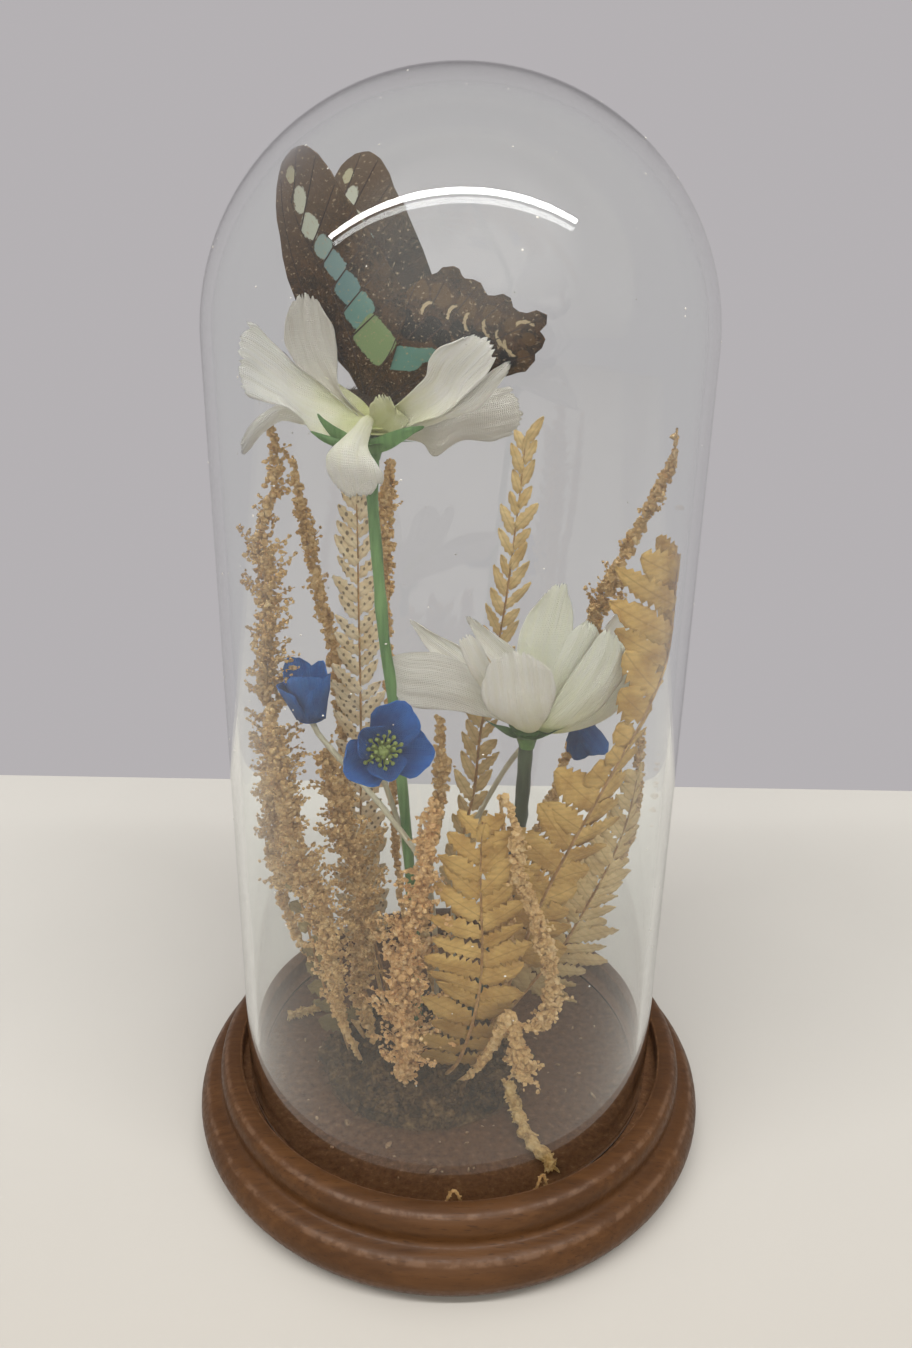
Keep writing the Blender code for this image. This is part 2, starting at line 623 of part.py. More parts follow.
def make_seed_heads(axis):
    make_seed_head(
        "seed_spike_left_tall",
        [(-16.4, -4.4), (-23.0, -3.4, 28.0, 0.8), (-29.1, -3.0, 39.0, 1.2), (-32.9, -3.0, 52.0, 1.5),
         (-34.0, -3.2, 64.0, 2.6), (-33.6, -3.8, 76.0, 3.4), (-34.0, -3.0, 90.0, 2.9),
         (-33.2, -3.6, 99.0, 3.2), (-32.6, -3.6, 106.0, 3.0), (-32.6, -3.0, 113.1, 4.0),
         (-32.6, -1.6, 119.0, 1.9), (-31.6, 0.0, 124.6, 1.8), (-29.9, 0.0, 128.6, 2.0),
         (-30.3, 0.0, 135.5, 1.0)],
        20, axis,
    )
    make_seed_head(
        "seed_spike_left_thin",
        [(-13.4, 4.6), (-18.0, 6.0, 45.0, 0.7), (-20.0, 7.2, 66.0, 1.0), (-21.8, 8.2, 86.0, 1.4),
         (-23.0, 8.6, 97.0, 1.6), (-25.4, 9.8, 106.0, 1.5), (-26.7, 10.0, 116.0, 1.5),
         (-28.4, 10.0, 123.3, 1.2), (-29.2, 10.0, 130.3, 0.7)],
        15, axis,
    )
    make_seed_head(
        "seed_spike_behind_stem",
        [(-7.2, 8.2), (-11.0, 10.4, 48.8, 0.8), (-12.0, 11.0, 75.7, 1.1), (-12.7, 11.0, 96.2, 1.1),
         (-13.0, 11.0, 105.0, 1.4), (-12.8, 11.0, 112.0, 1.9), (-12.9, 11.0, 119.0, 2.0),
         (-12.0, 11.0, 130.0, 1.0)],
        14, axis,
    )
    make_seed_head(
        "seed_spike_right",
        [(4.8, 5.6), (12.0, 11.0, 42.0, 0.7), (20.0, 15.6, 60.5, 1.0), (25.4, 17.6, 80.0, 1.1),
         (26.6, 17.0, 95.6, 1.8), (27.0, 14.6, 101.4, 2.4), (28.6, 12.0, 107.0, 2.4),
         (30.4, 9.2, 114.0, 1.4), (33.0, 7.4, 120.4, 1.5), (34.8, 4.6, 126.4, 1.4),
         (36.2, 2.0, 131.6, 1.0), (36.0, 0.4, 137.3, 0.5)],
        18, axis,
    )
    make_seed_head(
        "seed_spike_middle",
        [(-2.2, 2.0), (-5.0, 0.2, 40.0, 0.8), (-4.4, -1.6, 56.9, 1.1), (-2.8, -1.8, 66.0, 1.4),
         (-2.1, -2.0, 75.0, 1.5), (-2.5, -2.0, 86.7, 0.8)],
        11, axis,
    )
    make_seed_head(
        "seed_spike_far_right",
        [(9.2, 3.4), (20.0, 6.0, 34.0, 0.7), (30.0, 6.0, 46.0, 0.8), (35.0, 4.6, 58.0, 1.0),
         (35.6, 4.0, 70.0, 1.4), (35.4, 3.6, 82.0, 0.9)],
        12, axis,
    )
    make_seed_head(
        "seed_plume_centre",
        [(-8.6, -14.4), (-7.8, -16.8, 25.0, 4.4), (-8.5, -17.4, 34.7, 4.6), (-8.6, -18.0, 42.8, 4.4),
         (-7.4, -18.5, 50.7, 4.2), (-5.6, -19.2, 58.3, 3.4), (-4.6, -20.0, 65.6, 2.6),
         (-3.8, -20.6, 72.7, 2.1), (-3.2, -21.0, 79.5, 1.2)],
        13, axis,
    )
    make_seed_head(
        "seed_plume_left",
        [(-14.0, -7.6), (-17.4, -8.0, 32.0, 2.6), (-16.4, -8.0, 39.0, 3.6), (-15.4, -8.0, 46.3, 4.2),
         (-16.4, -7.5, 54.7, 4.2), (-18.2, -7.0, 61.7, 4.2), (-19.4, -6.8, 68.7, 3.2),
         (-21.0, -7.0, 78.4, 1.2)],
        12, axis,
    )
    make_seed_head(
        "seed_plume_left_low",
        [(-16.8, -9.8), (-20.4, -12.6, 30.0, 1.2), (-21.2, -14.0, 42.0, 3.0), (-23.0, -15.0, 54.5, 3.6),
         (-25.4, -15.2, 62.5, 3.4), (-27.2, -15.2, 71.0, 2.4), (-28.2, -15.2, 79.0, 2.9),
         (-29.4, -14.6, 86.0, 2.0), (-30.6, -14.0, 92.4, 1.0)],
        14, axis,
    )
    make_seed_head(
        "seed_chain_hanging",
        [(4.6, -11.6), (8.6, -14.4, 30.0, 0.5), (11.0, -15.4, 48.0, 0.5), (9.4, -16.6, 68.0, 0.5),
         (8.0, -18.0, 79.0, 0.5), (10.4, -21.6, 76.0, 1.1), (11.2, -22.8, 68.0, 1.5),
         (13.5, -23.6, 61.6, 1.2), (15.4, -24.2, 56.0, 1.8), (17.0, -24.4, 50.4, 1.4),
         (17.8, -24.4, 44.0, 1.7), (16.1, -24.4, 38.8, 1.5), (13.4, -24.4, 37.5, 0.8)],
        20, axis,
    )
    make_seed_head(
        "seed_tassel",
        [(2.0, -14.8), (6.0, -19.6, 25.0, 0.6), (8.4, -22.4, 33.0, 1.0), (10.6, -23.2, 38.6, 1.2),
         (12.0, -24.4, 34.4, 1.0), (12.8, -25.4, 31.0, 1.5), (14.6, -26.0, 27.4, 0.8)],
        12, axis,
    )


def make_loose_bits(axis):
    """The twigs on the floor of the recess and the dried stalks caught outside the foot of the glass."""
    front = [(12.8, -16.6, FLOOR + 1.5), (14.6, -23.4, FLOOR + 1.5), (18.6, -30.6, FLOOR + 1.5)]
    tube("twig_front", along(front, evenly(9)), [0.5 + 0.45 * (k % 2) for k in range(9)], "twig", axis)
    left = [(-34.6, 7.4, FLOOR + 1.2), (-31.0, 9.4, FLOOR + 1.2), (-26.0, 11.6, FLOOR + 1.2)]
    tube("twig_left", along(left, evenly(7)), [0.4 + 0.35 * (k % 2) for k in range(7)], "twig", axis)
    beside_glass = DOME_RADIUS + 0.6
    for name, turn, spread in (("front", -88.0, 2.4), ("right", -66.0, 1.8)):
        loop = []
        for k in range(5):
            angle = math.radians(turn + spread * (k - 2) / 2)
            lift = FLOOR + 0.8 + 4.6 * math.sin(math.pi * k / 4)
            loop.append((beside_glass * math.cos(angle), beside_glass * math.sin(angle), lift))
        tube("dried_strand_" + name, along(loop, evenly(7)), [0.3] * 7, "twig", axis, 4)


def main():
    clear_scene()
    make_base()
    axis = add_object("dome_axis", None)
    axis.location = Vector((*DOME_OFFSET, 0.0)) * MM
    make_dome(axis)
    make_mound(axis)
    make_upper_flower(axis)
    make_lower_flower(axis)
    for side in BLUE_FLOWERS:
        make_blue_flower(side, axis)
    make_butterfly(axis)
    make_ferns(axis)
    make_seed_heads(axis)
    make_loose_bits(axis)


main()
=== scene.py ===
import math
import random

import bmesh
import bpy
from mathutils import Matrix, Quaternion, Vector, noise


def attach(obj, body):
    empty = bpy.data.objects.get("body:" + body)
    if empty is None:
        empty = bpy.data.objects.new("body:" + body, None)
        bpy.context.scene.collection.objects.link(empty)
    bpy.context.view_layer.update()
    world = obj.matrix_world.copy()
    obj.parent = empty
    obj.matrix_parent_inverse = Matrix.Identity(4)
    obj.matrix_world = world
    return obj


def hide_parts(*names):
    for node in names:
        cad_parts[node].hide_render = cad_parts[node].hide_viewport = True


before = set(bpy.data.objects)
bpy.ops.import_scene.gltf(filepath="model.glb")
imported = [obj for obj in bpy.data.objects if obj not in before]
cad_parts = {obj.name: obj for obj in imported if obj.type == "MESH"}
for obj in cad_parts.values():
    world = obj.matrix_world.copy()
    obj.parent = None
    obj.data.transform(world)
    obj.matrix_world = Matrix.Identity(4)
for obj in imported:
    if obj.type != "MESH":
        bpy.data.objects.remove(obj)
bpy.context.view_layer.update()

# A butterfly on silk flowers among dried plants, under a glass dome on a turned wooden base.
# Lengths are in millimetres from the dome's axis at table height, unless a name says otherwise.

MM = 0.001
DOME_OFFSET = Vector((-0.4, -0.9, 0.0))

# Glass dome and base, as in the frame; the dome's crown springs from its wall at DOME_SPRING
DOME_RADIUS = 40.0
DOME_WALL = 1.8
DOME_CROWN_WALL = 2.2
DOME_SPRING = 149.6
DOME_CROWN = 38.4
DOME_FOOT = 11.6
FOOT_ROUND = 0.6
BASE_WIDEST = 50.6
RIM_HEIGHT = 15.3
RECESS_RADIUS = 42.1
FLOOR = 11.3
# What is inside stays within these, clear of the glass
INSIDE_RADIUS = 37.4
INSIDE_CROWN = 35.6

MOUND_CENTRE = (-4.5, -4.0)
MOUND_REACH = (20.0, 18.0)
MOUND_RISE = 7.2

# How many of the small things there are
MOSS_LUMPS = 150
MOSS_FIBRES = 2600
STAMENS = 34
BODY_HAIRS = 900
CRUMBS = 60
DUST_SPECKS = 220

# The way that the dried plants face
FRONT = Vector((0.0, -1.0, 0.15))
# One side of the square of cloth, in millimetres, that a sheet's own map stands for
MAP_SIZE = 50
# How finely curves are followed between their points, and the side edges and the middle line of a petal
STEPS_BETWEEN_KNOTS = 12
EDGE_STEPS = 60
LINE_STEPS = 50


# ---------------------------------------------------------------- finishes


def tint(red, green, blue):
    """A colour for a shader from its 0 to 255 screen values."""
    shares = [value / 255 for value in (red, green, blue)]
    return [*(((s + 0.055) / 1.055) ** 2.4 if s > 0.04045 else s / 12.92 for s in shares), 1.0]


def new_finish(name, roughness, **sockets):
    """A material with a Principled shader; sockets are named with _ for a space."""
    finish = bpy.data.materials.new(name)
    finish.use_nodes = True
    shader = finish.node_tree.nodes["Principled BSDF"]
    shader.inputs["Roughness"].default_value = roughness
    shader.inputs["Subsurface Radius"].default_value = (1.0, 1.0, 1.0)
    for name_of_socket, value in sockets.items():
        shader.inputs[name_of_socket.replace("_", " ")].default_value = value
    return finish


def node(finish, kind, inputs=None, **settings):
    """A shader node; its inputs are given values, or the outputs that feed them."""
    made = finish.node_tree.nodes.new("ShaderNode" + kind)
    for setting, value in settings.items():
        setattr(made, setting, value)
    for key, value in (inputs or {}).items():
        if isinstance(value, bpy.types.NodeSocket):
            finish.node_tree.links.new(value, made.inputs[key])
        else:
            made.inputs[key].default_value = value
    return made


def feed(finish, socket, value):
    finish.node_tree.links.new(value, finish.node_tree.nodes["Principled BSDF"].inputs[socket])


def spot(finish, stretch=(1.0, 1.0, 1.0)):
    """Where a point is on the object, in millimetres, stretched as wanted."""
    where = node(finish, "TexCoord").outputs["Object"]
    scale = [1000.0 * s for s in stretch]
    return node(finish, "Mapping", {"Vector": where, "Scale": scale}).outputs[0]


def sheet_spot(finish, stretch=(1.0, 1.0)):
    """Where a point is on a sheet's own map, in millimetres across and along."""
    where = node(finish, "UVMap", uv_map="cloth").outputs["UV"]
    across, tall = (MAP_SIZE * s for s in stretch)
    inputs = {"Vector": where, "Location": (-across / 2, 0, 0), "Scale": (across, tall, 1)}
    return node(finish, "Mapping", inputs).outputs[0]


def mottle(finish, where, scale, detail=3.0, rough=0.55, distortion=0.0):
    """Cloudy noise from 0 to 1; the scale is in clouds to a millimetre."""
    inputs = {"Vector": where, "Scale": scale, "Detail": detail, "Roughness": rough, "Distortion": distortion}
    return node(finish, "TexNoise", inputs).outputs[0]


def work_out(finish, operation, *values, clamp=False):
    """The result of one sum on values and outputs."""
    made = node(finish, "Math", dict(enumerate(values)), operation=operation, use_clamp=clamp)
    return made.outputs[0]


def work_out_vector(finish, operation, *values):
    made = node(finish, "VectorMath", dict(enumerate(values)), operation=operation)
    return made.outputs["Value" if operation in ("LENGTH", "DOT_PRODUCT") else "Vector"]


def axis_of(finish, where, axis):
    """One of the three values of a place, named X, Y or Z."""
    return node(finish, "SeparateXYZ", {0: where}).outputs[axis]


def ramp(finish, value, *stops):
    """A colour that changes with the value; each stop is (value, colour)."""
    made = node(finish, "ValToRGB", {0: value})
    points = made.color_ramp.elements
    while len(points) < len(stops):
        points.new(0.5)
    for point, (position, colour) in zip(points, stops):
        point.position = position
        point.color = colour
    return made.outputs[0]


def steps(finish, value, low, high, start=0.0, end=1.0):
    """The value brought from low..high to start..end, with soft ends."""
    inputs = {"Value": value, "From Min": low, "From Max": high, "To Min": start, "To Max": end}
    return node(finish, "MapRange", inputs, interpolation_type="SMOOTHSTEP").outputs[0]


def blend(finish, share, first, second, how="MIX"):
    """The second colour laid over the first by a share from 0 to 1."""
    return node(finish, "Mix", {0: share, 6: first, 7: second}, data_type="RGBA", blend_type=how).outputs[2]


def laid_on(finish, colour, mask, strength, shade):
    """The shade laid on the colour where the mask is 1."""
    return blend(finish, work_out(finish, "MULTIPLY", mask, strength), colour, shade)


def share_of(colour, share):
    """The colour made darker, or with a share over 1 lighter."""
    return [share * c for c in colour[:3]] + [1.0]


def emboss(finish, height, depth_mm, strength=1.0):
    """Lets the height, from 0 to 1, catch the light as if it were so many millimetres deep."""
    inputs = {"Height": height, "Distance": depth_mm * MM, "Strength": strength}
    feed(finish, "Normal", node(finish, "Bump", inputs).outputs[0])


def stained_wood():
    finish = new_finish("stained_wood", 0.45, Coat_Weight=0.03, Coat_Roughness=0.4, Specular_IOR_Level=0.2)
    place = spot(finish)
    height = axis_of(finish, place, "Z")
    streaks = mottle(finish, spot(finish, (0.05, 0.7, 0.7)), 1.4, 6.0, 0.6, 0.3)
    rings = mottle(finish, spot(finish, (0.012, 0.16, 0.1)), 1.0, 3.0, 0.5, 0.8)
    pores = mottle(finish, spot(finish, (0.35, 3.2, 3.2)), 1.0, 2.0, 0.5)
    patches = mottle(finish, place, 0.07, 3.0)
    colour = ramp(finish, streaks, (0.25, tint(60, 36, 15)), (0.5, tint(74, 46, 21)), (0.75, tint(86, 56, 29)))
    colour = blend(finish, steps(finish, rings, 0.35, 0.65, 0.0, 0.5), colour, tint(60, 36, 16))
    colour = blend(finish, steps(finish, patches, 0.4, 0.7, 0.0, 0.35), colour, tint(90, 58, 29))
    colour = blend(finish, steps(finish, pores, 0.6, 0.72, 0.0, 0.55), colour, tint(42, 25, 13))
    # The shoulders are painted pale in broken lines, partly as rubbed wear and partly as painted highlight: height,
    # how far the line reaches, how pale it gets
    broken_wear_and_highlight = mottle(finish, place, 0.5, 3.0)
    for shoulder, reach, pale in ((8.7, 0.55, 0.2), (14.75, 0.4, 0.2), (4.6, 0.5, 0.08)):
        away = work_out(finish, "ABSOLUTE", work_out(finish, "SUBTRACT", height, shoulder))
        line = steps(finish, away, 0.1, reach, 1.0, 0.0)
        colour = laid_on(finish, colour, line, steps(finish, broken_wear_and_highlight, 0.42, 0.62, 0.04, pale), tint(150, 120, 98))
    # The recess is painted darker, partly as shade and partly as dark dust, with paler specks of dust
    radius = work_out_vector(finish, "LENGTH", work_out_vector(finish, "MULTIPLY", place, (1.0, 1.0, 0.0)))
    recess = steps(finish, radius, RECESS_RADIUS + 0.1, RECESS_RADIUS + 0.5, 1.0, 0.0)
    recess = work_out(finish, "MULTIPLY", recess, steps(finish, height, 5.0, 9.0))
    dust = mottle(finish, place, 0.8, 5.0, 0.7)
    recess_dust_and_shade = ramp(finish, dust, (0.3, tint(78, 50, 30)), (0.6, tint(120, 84, 56)), (0.78, tint(166, 130, 98)))
    feed(finish, "Base Color", laid_on(finish, colour, recess, 0.8, recess_dust_and_shade))
    rough = steps(finish, mottle(finish, place, 1.1, 4.0), 0.3, 0.7, 0.34, 0.55)
    feed(finish, "Roughness", work_out(finish, "MULTIPLY_ADD", recess, 0.35, rough))
    emboss(finish, blend(finish, 0.5, pores, streaks), 0.12, 0.35)
    return finish


def clear_glass():
    finish = new_finish("clear_glass", 0.0, Transmission_Weight=1.0, IOR=1.46, Base_Color=(0.985, 0.995, 0.99, 1.0))
    absorb = node(finish, "VolumeAbsorption", {"Color": (0.7, 0.84, 0.7, 1.0), "Density": 12.0})
    finish.node_tree.links.new(absorb.outputs[0], finish.node_tree.nodes["Material Output"].inputs["Volume"])
    # The blown wall ripples a little
    emboss(finish, mottle(finish, spot(finish, (1.0, 1.0, 0.35)), 0.045, 1.0), 0.5, 0.06)
    return finish


def silk(name, foot, middle, edge, veil=0.08):
    """Woven silk dyed from the foot of a petal to its edge."""
    finish = new_finish(name, 0.85, Subsurface_Weight=veil, Subsurface_Scale=0.0004)
    flat = sheet_spot(finish)
    drift = work_out(finish, "SUBTRACT", mottle(finish, spot(finish), 0.16, 4.0), 0.5)
    along_petal = work_out(finish, "MULTIPLY_ADD", drift, 16.0, axis_of(finish, flat, "Y"))
    colour = ramp(finish, work_out(finish, "DIVIDE", along_petal, 24.0), (0.1, foot), (0.34, middle), (0.66, edge))
    threads = {"Vector": flat, "Scale": 1.1, "Distortion": 0.4}
    warp, weft = (node(finish, "TexWave", threads, bands_direction=way).outputs[1] for way in "XY")
    weave = work_out(finish, "MULTIPLY", warp, weft)
    colour = blend(finish, work_out(finish, "MULTIPLY", weave, 0.12), colour, (0.0, 0.0, 0.0, 1.0), "SOFT_LIGHT")
    # Pressed ribs fan along the petal; the hollows between them are painted darker, as shade in the pleats
    ribs = mottle(finish, sheet_spot(finish, (1.5, 0.07)), 1.0, 4.0, 0.6)
    colour = blend(finish, steps(finish, ribs, 0.38, 0.6, 0.2, 0.0), colour, middle, "MULTIPLY")
    feed(finish, "Base Color", colour)
    emboss(finish, work_out(finish, "MULTIPLY_ADD", ribs, 4.0, weave), 0.16, 0.8)
    return finish


def dry_leaf(name, dark, light, spots=False):
    """A pressed, dried frond: darker along the midribs, painted darker low down near the moss as shade with some
    dust, paler at the edges.
    """
    finish = new_finish(name, 0.8, Subsurface_Weight=0.2, Subsurface_Scale=0.001, Specular_IOR_Level=0.25)
    place = spot(finish)
    flat = sheet_spot(finish)
    cloud = mottle(finish, place, 0.22, 4.0)
    grit = mottle(finish, place, 1.6, 3.0, 0.6)
    colour = ramp(finish, cloud, (0.32, dark), (0.68, light))
    from_rib = work_out(finish, "ABSOLUTE", axis_of(finish, flat, "X"))
    colour = blend(finish, steps(finish, from_rib, 0.04, 0.22, 0.35, 0.0), colour, share_of(dark, 0.65))
    bands = {"Vector": flat, "Scale": 0.42, "Distortion": 1.2, "Detail": 1.0}
    veins = node(finish, "TexWave", bands, bands_direction="DIAGONAL").outputs[1]
    colour = blend(finish, steps(finish, veins, 0.1, 0.45, 0.14, 0.0), colour, share_of(dark, 0.65))
    colour = blend(finish, steps(finish, grit, 0.55, 0.75, 0.0, 0.35), colour, light)
    # Painted shade, with some dust: the leaves get darker towards the bottom, near the moss
    low = steps(finish, axis_of(finish, place, "Z"), 18.0, 58.0, 0.7, 0.0)
    colour = blend(finish, low, colour, share_of(dark, 0.4))
    if spots:
        dots = node(finish, "TexVoronoi", {"Vector": flat, "Scale": 0.75, "Randomness": 0.35}).outputs["Distance"]
        colour = blend(finish, steps(finish, dots, 0.18, 0.3, 0.75, 0.0), colour, tint(70, 44, 24))
    feed(finish, "Base Color", colour)
    emboss(finish, work_out(finish, "MULTIPLY_ADD", veins, 0.6, grit), 0.12, 0.6)
    return finish


def dry_matter(name, dark, middle, light, grain=0.9, rough=0.85):
    """Dry seed heads, twigs and moss: mottled from piece to piece, with a crumbly surface."""
    finish = new_finish(name, rough, Subsurface_Weight=0.15, Subsurface_Scale=0.0008, Specular_IOR_Level=0.2)
    place = spot(finish)
    cloud = mottle(finish, place, 0.3, 3.0)
    grit = mottle(finish, place, grain, 4.0, 0.65)
    mixed = work_out(finish, "MULTIPLY_ADD", cloud, 0.45, work_out(finish, "MULTIPLY", grit, 0.55))
    feed(finish, "Base Color", ramp(finish, mixed, (0.36, dark), (0.5, middle), (0.66, light)))
    emboss(finish, grit, 0.25, 0.7)
    return finish


def moulded_green(name, dark, light, rough=0.45):
    """Moulded plastic stem, in shades that run along it."""
    finish = new_finish(name, rough)
    lengths = mottle(finish, spot(finish, (1.0, 1.0, 0.06)), 1.6, 3.0)
    cloud = mottle(finish, spot(finish), 0.12, 2.0)
    mixed = work_out(finish, "MULTIPLY_ADD", cloud, 0.5, work_out(finish, "MULTIPLY", lengths, 0.5))
    feed(finish, "Base Color", ramp(finish, mixed, (0.35, dark), (0.65, light)))
    emboss(finish, lengths, 0.15, 0.5)
    return finish


# ---------------------------------------------------------------- wing pattern

# Across the wing's plane: distance back along the body, distance from the body
FOREWING = [
    (0, 0), (-2.0, 2.4), (-3.7, 4.4), (-8.5, 7.2), (-12.4, 9.6), (-14.1, 13.0), (-15.6, 15.8), (-16.5, 18.8),
    (-17.0, 21.8), (-17.6, 24.0), (-17.8, 26.1), (-17.7, 28.6), (-17.3, 30.7), (-16.9, 32.2), (-16.2, 33.3),
    (-15.1, 34.5), (-13.9, 35.1), (-12.9, 35.4), (-12.1, 35.3), (-10.7, 34.9), (-8.5, 33.3), (-7.1, 31.7),
    (-5.9, 30.7), (-4.6, 29.9), (-3.4, 28.6), (-1.4, 26.7), (0.7, 24.7), (2.9, 22.3), (5.0, 20.1), (5.2, 17.0),
    (3.4, 8.0), (1.2, -0.4),
]
HINDWING = [
    (-0.4, -0.6), (0.4, 5.0), (1.8, 13.6), (3.3, 17.6), (4.9, 21.0), (7.1, 23.6), (9.2, 25.0), (9.9, 26.0),
    (10.4, 26.2), (11.5, 26.7), (12.4, 26.6), (12.9, 25.9), (13.4, 25.6), (14.7, 25.9), (15.9, 25.8),
    (16.6, 25.0), (17.2, 24.5), (18.2, 24.8), (19.4, 25.5), (20.6, 25.3), (21.2, 24.2), (22.1, 23.9),
    (23.3, 24.1), (24.6, 25.0), (26.2, 24.9), (26.4, 23.6), (25.7, 22.3), (26.3, 21.9), (26.7, 21.5),
    (26.5, 20.1), (25.7, 18.9), (25.9, 17.9), (24.9, 15.9), (23.9, 15.4), (22.8, 14.5), (20.6, 13.0),
    (15.6, 9.0), (11.0, 5.0), (6.4, 1.6), (3.0, -0.6),
]
# Pale cells: centre, the way to two of their sides, roundness, colour
BAND_CELLS = [
    ((-15.1, 31.1), (0.1, 1.2), (0.85, 0.1), 2.0, (200, 194, 160)),
    ((-13.5, 28.1), (-0.18, 1.9), (1.05, 0.3), 2.2, (214, 216, 198)),
    ((-11.7, 24.9), (0.42, 1.8), (1.45, -0.42), 2.6, (206, 212, 196)),
    ((-9.3, 22.7), (0.72, 1.7), (1.25, -0.5), 2.8, (156, 176, 170)),
    ((-7.2, 20.7), (0.85, 1.7), (1.5, -1.0), 3.2, (134, 162, 162)),
    ((-4.85, 18.0), (0.98, 2.2), (1.6, -0.9), 3.6, (118, 152, 152)),
    ((-2.6, 15.3), (1.5, 2.55), (1.6, -1.1), 4.0, (116, 156, 148)),
    ((0.4, 11.6), (1.65, 2.9), (2.6, -1.7), 5.0, (138, 160, 112)),
]
HIND_CELLS = [
    ((5.4, 10.3), (0.95, 2.3), (3.5, 1.0), 4.0, (104, 150, 138)),
    ((8.8, 12.2), (0.5, 1.4), (2.0, 0.6), 2.4, (104, 146, 132)),
]
# Crescents near the hindwing's edge, with their turn in degrees; spots and patches, with their size
CRESCENTS = [
    (8.4, 19.5, -35), (12.4, 20.2, -20), (15.0, 19.8, 5), (18.0, 20.0, 25), (20.4, 19.2, 40), (21.9, 18.4, 50),
    (23.4, 22.4, -70),
]
DARK_SPOTS = [
    (2.6, 17.1, 1.3), (4.9, 17.1, 1.1), (2.3, 14.5, 1.1), (6.0, 15.2, 1.3), (7.8, 15.5, 1.2), (9.7, 17.2, 1.2),
    (11.2, 15.9, 1.3), (13.7, 18.0, 1.1), (15.7, 18.2, 1.0), (17.7, 18.2, 0.9), (22.0, 16.9, 1.1),
]
WARM_PATCHES = [
    (4.6, 20.8, 1.6), (6.9, 21.9, 1.5), (10.3, 22.1, 1.7), (14.4, 21.8, 1.6), (18.4, 22.1, 1.4), (21.7, 21.6, 1.3),
    (24.4, 20.7, 1.0), (24.2, 18.0, 1.0),
]


def cell_mask(finish, flat, centre, first, second, roundness):
    """1 inside a four-sided cell of the wing with rounded corners, 0 outside."""
    from_centre = work_out_vector(finish, "SUBTRACT", flat, (*centre, 0.0))
    size = first[0] * second[1] - first[1] * second[0]
    parts = []
    for side in ((second[1] / size, -second[0] / size, 0.0), (-first[1] / size, first[0] / size, 0.0)):
        share = work_out_vector(finish, "DOT_PRODUCT", from_centre, side)
        parts.append(work_out(finish, "POWER", work_out(finish, "ABSOLUTE", share), roundness))
    return steps(finish, work_out(finish, "ADD", *parts), 0.8, 1.15, 1.0, 0.0)


def round_mask(finish, flat, centre, size):
    return cell_mask(finish, flat, centre, (size, 0.0), (0.0, size), 2.0)


def crescent_mask(finish, flat, s, t, turn):
    """A thin new moon, open to the wing's edge."""
    turn = math.radians(turn)
    across, up = (math.cos(turn), math.sin(turn)), (-math.sin(turn), math.cos(turn))
    moon = [(0.78 * across[0], 0.78 * across[1]), (1.4 * up[0], 1.4 * up[1])]
    full = cell_mask(finish, flat, (s, t), *moon, 2.0)
    bite = cell_mask(finish, flat, (s + 0.5 * across[0], t + 0.5 * across[1]), *moon, 2.0)
    return work_out(finish, "SUBTRACT", full, bite, clamp=True)


def wing_scales(name, dark, light, cells, marks=False):
    """Wing scales with pale cells between the veins, and on a hindwing its patches, spots and crescents."""
    finish = new_finish(name, 0.75, Specular_IOR_Level=0.06)
    flat = sheet_spot(finish)
    # Scales make every edge of the pattern ragged
    ragged = mottle(finish, flat, 2.2, 2.0)
    shift = node(finish, "CombineXYZ", {0: ragged, 1: ragged}).outputs[0]
    shift = work_out_vector(finish, "SUBTRACT", shift, (0.5, 0.5, 0.0))
    flat = work_out_vector(finish, "MULTIPLY_ADD", shift, (0.7, 0.7, 0.0), flat)
    cloud = mottle(finish, flat, 0.34, 6.0, 0.8)
    grit = mottle(finish, flat, 2.2, 5.0, 0.8)
    colour = ramp(finish, cloud, (0.42, dark), (0.6, light))
    colour = blend(finish, steps(finish, grit, 0.46, 0.6, 0.0, 0.55), colour, share_of(light, 1.8))
    colour = blend(finish, steps(finish, grit, 0.44, 0.36, 0.0, 0.5), colour, share_of(dark, 0.5))
    # The scales are rubbed paler towards the tip and the front edge
    outward = work_out(finish, "SUBTRACT", axis_of(finish, flat, "Y"), axis_of(finish, flat, "X"))
    colour = blend(finish, steps(finish, outward, 24.0, 48.0, 0.0, 0.5), colour, tint(138, 114, 90))
    if marks:
        for s, t, size in WARM_PATCHES:
            colour = laid_on(finish, colour, round_mask(finish, flat, (s, t), size), 0.7, tint(106, 78, 44))
        for s, t, size in DARK_SPOTS:
            colour = laid_on(finish, colour, round_mask(finish, flat, (s, t), 1.3 * size), 0.9, tint(14, 10, 8))
        for crescent in CRESCENTS:
            colour = laid_on(finish, colour, crescent_mask(finish, flat, *crescent), 0.9, tint(206, 186, 148))
    for *cell, shade in cells:
        colour = laid_on(finish, colour, cell_mask(finish, flat, *cell), 0.96, tint(*shade))
    # Rubbed specks where scales are missing
    worn = mottle(finish, flat, 1.7, 3.0, 0.65)
    feed(finish, "Base Color", blend(finish, steps(finish, worn, 0.6, 0.66, 0.0, 0.75), colour, tint(186, 164, 132)))
    emboss(finish, grit, 0.05, 0.6)
    return finish


# ---------------------------------------------------------------- shaping helpers


def turned(profile, segments=128):
    """A mesh spun about the dome's axis from (radius, height) points that start and end on the axis."""
    bm = bmesh.new()
    corners = [bm.verts.new((radius, 0.0, height)) for radius, height in profile]
    edges = [bm.edges.new(pair) for pair in zip(corners, corners[1:])]
    bmesh.ops.spin(
        bm, geom=corners + edges, cent=(0, 0, 0), axis=(0, 0, 1), angle=math.tau, steps=segments, use_merge=True
    )
    return bm


def arc(centre, radii, start, end, count):
    """Points on an oval arc, from one angle to another in degrees."""
    turns = [math.radians(start + (end - start) * k / count) for k in range(count + 1)]
    return [(centre[0] + radii[0] * math.cos(a), centre[1] + radii[1] * math.sin(a)) for a in turns]


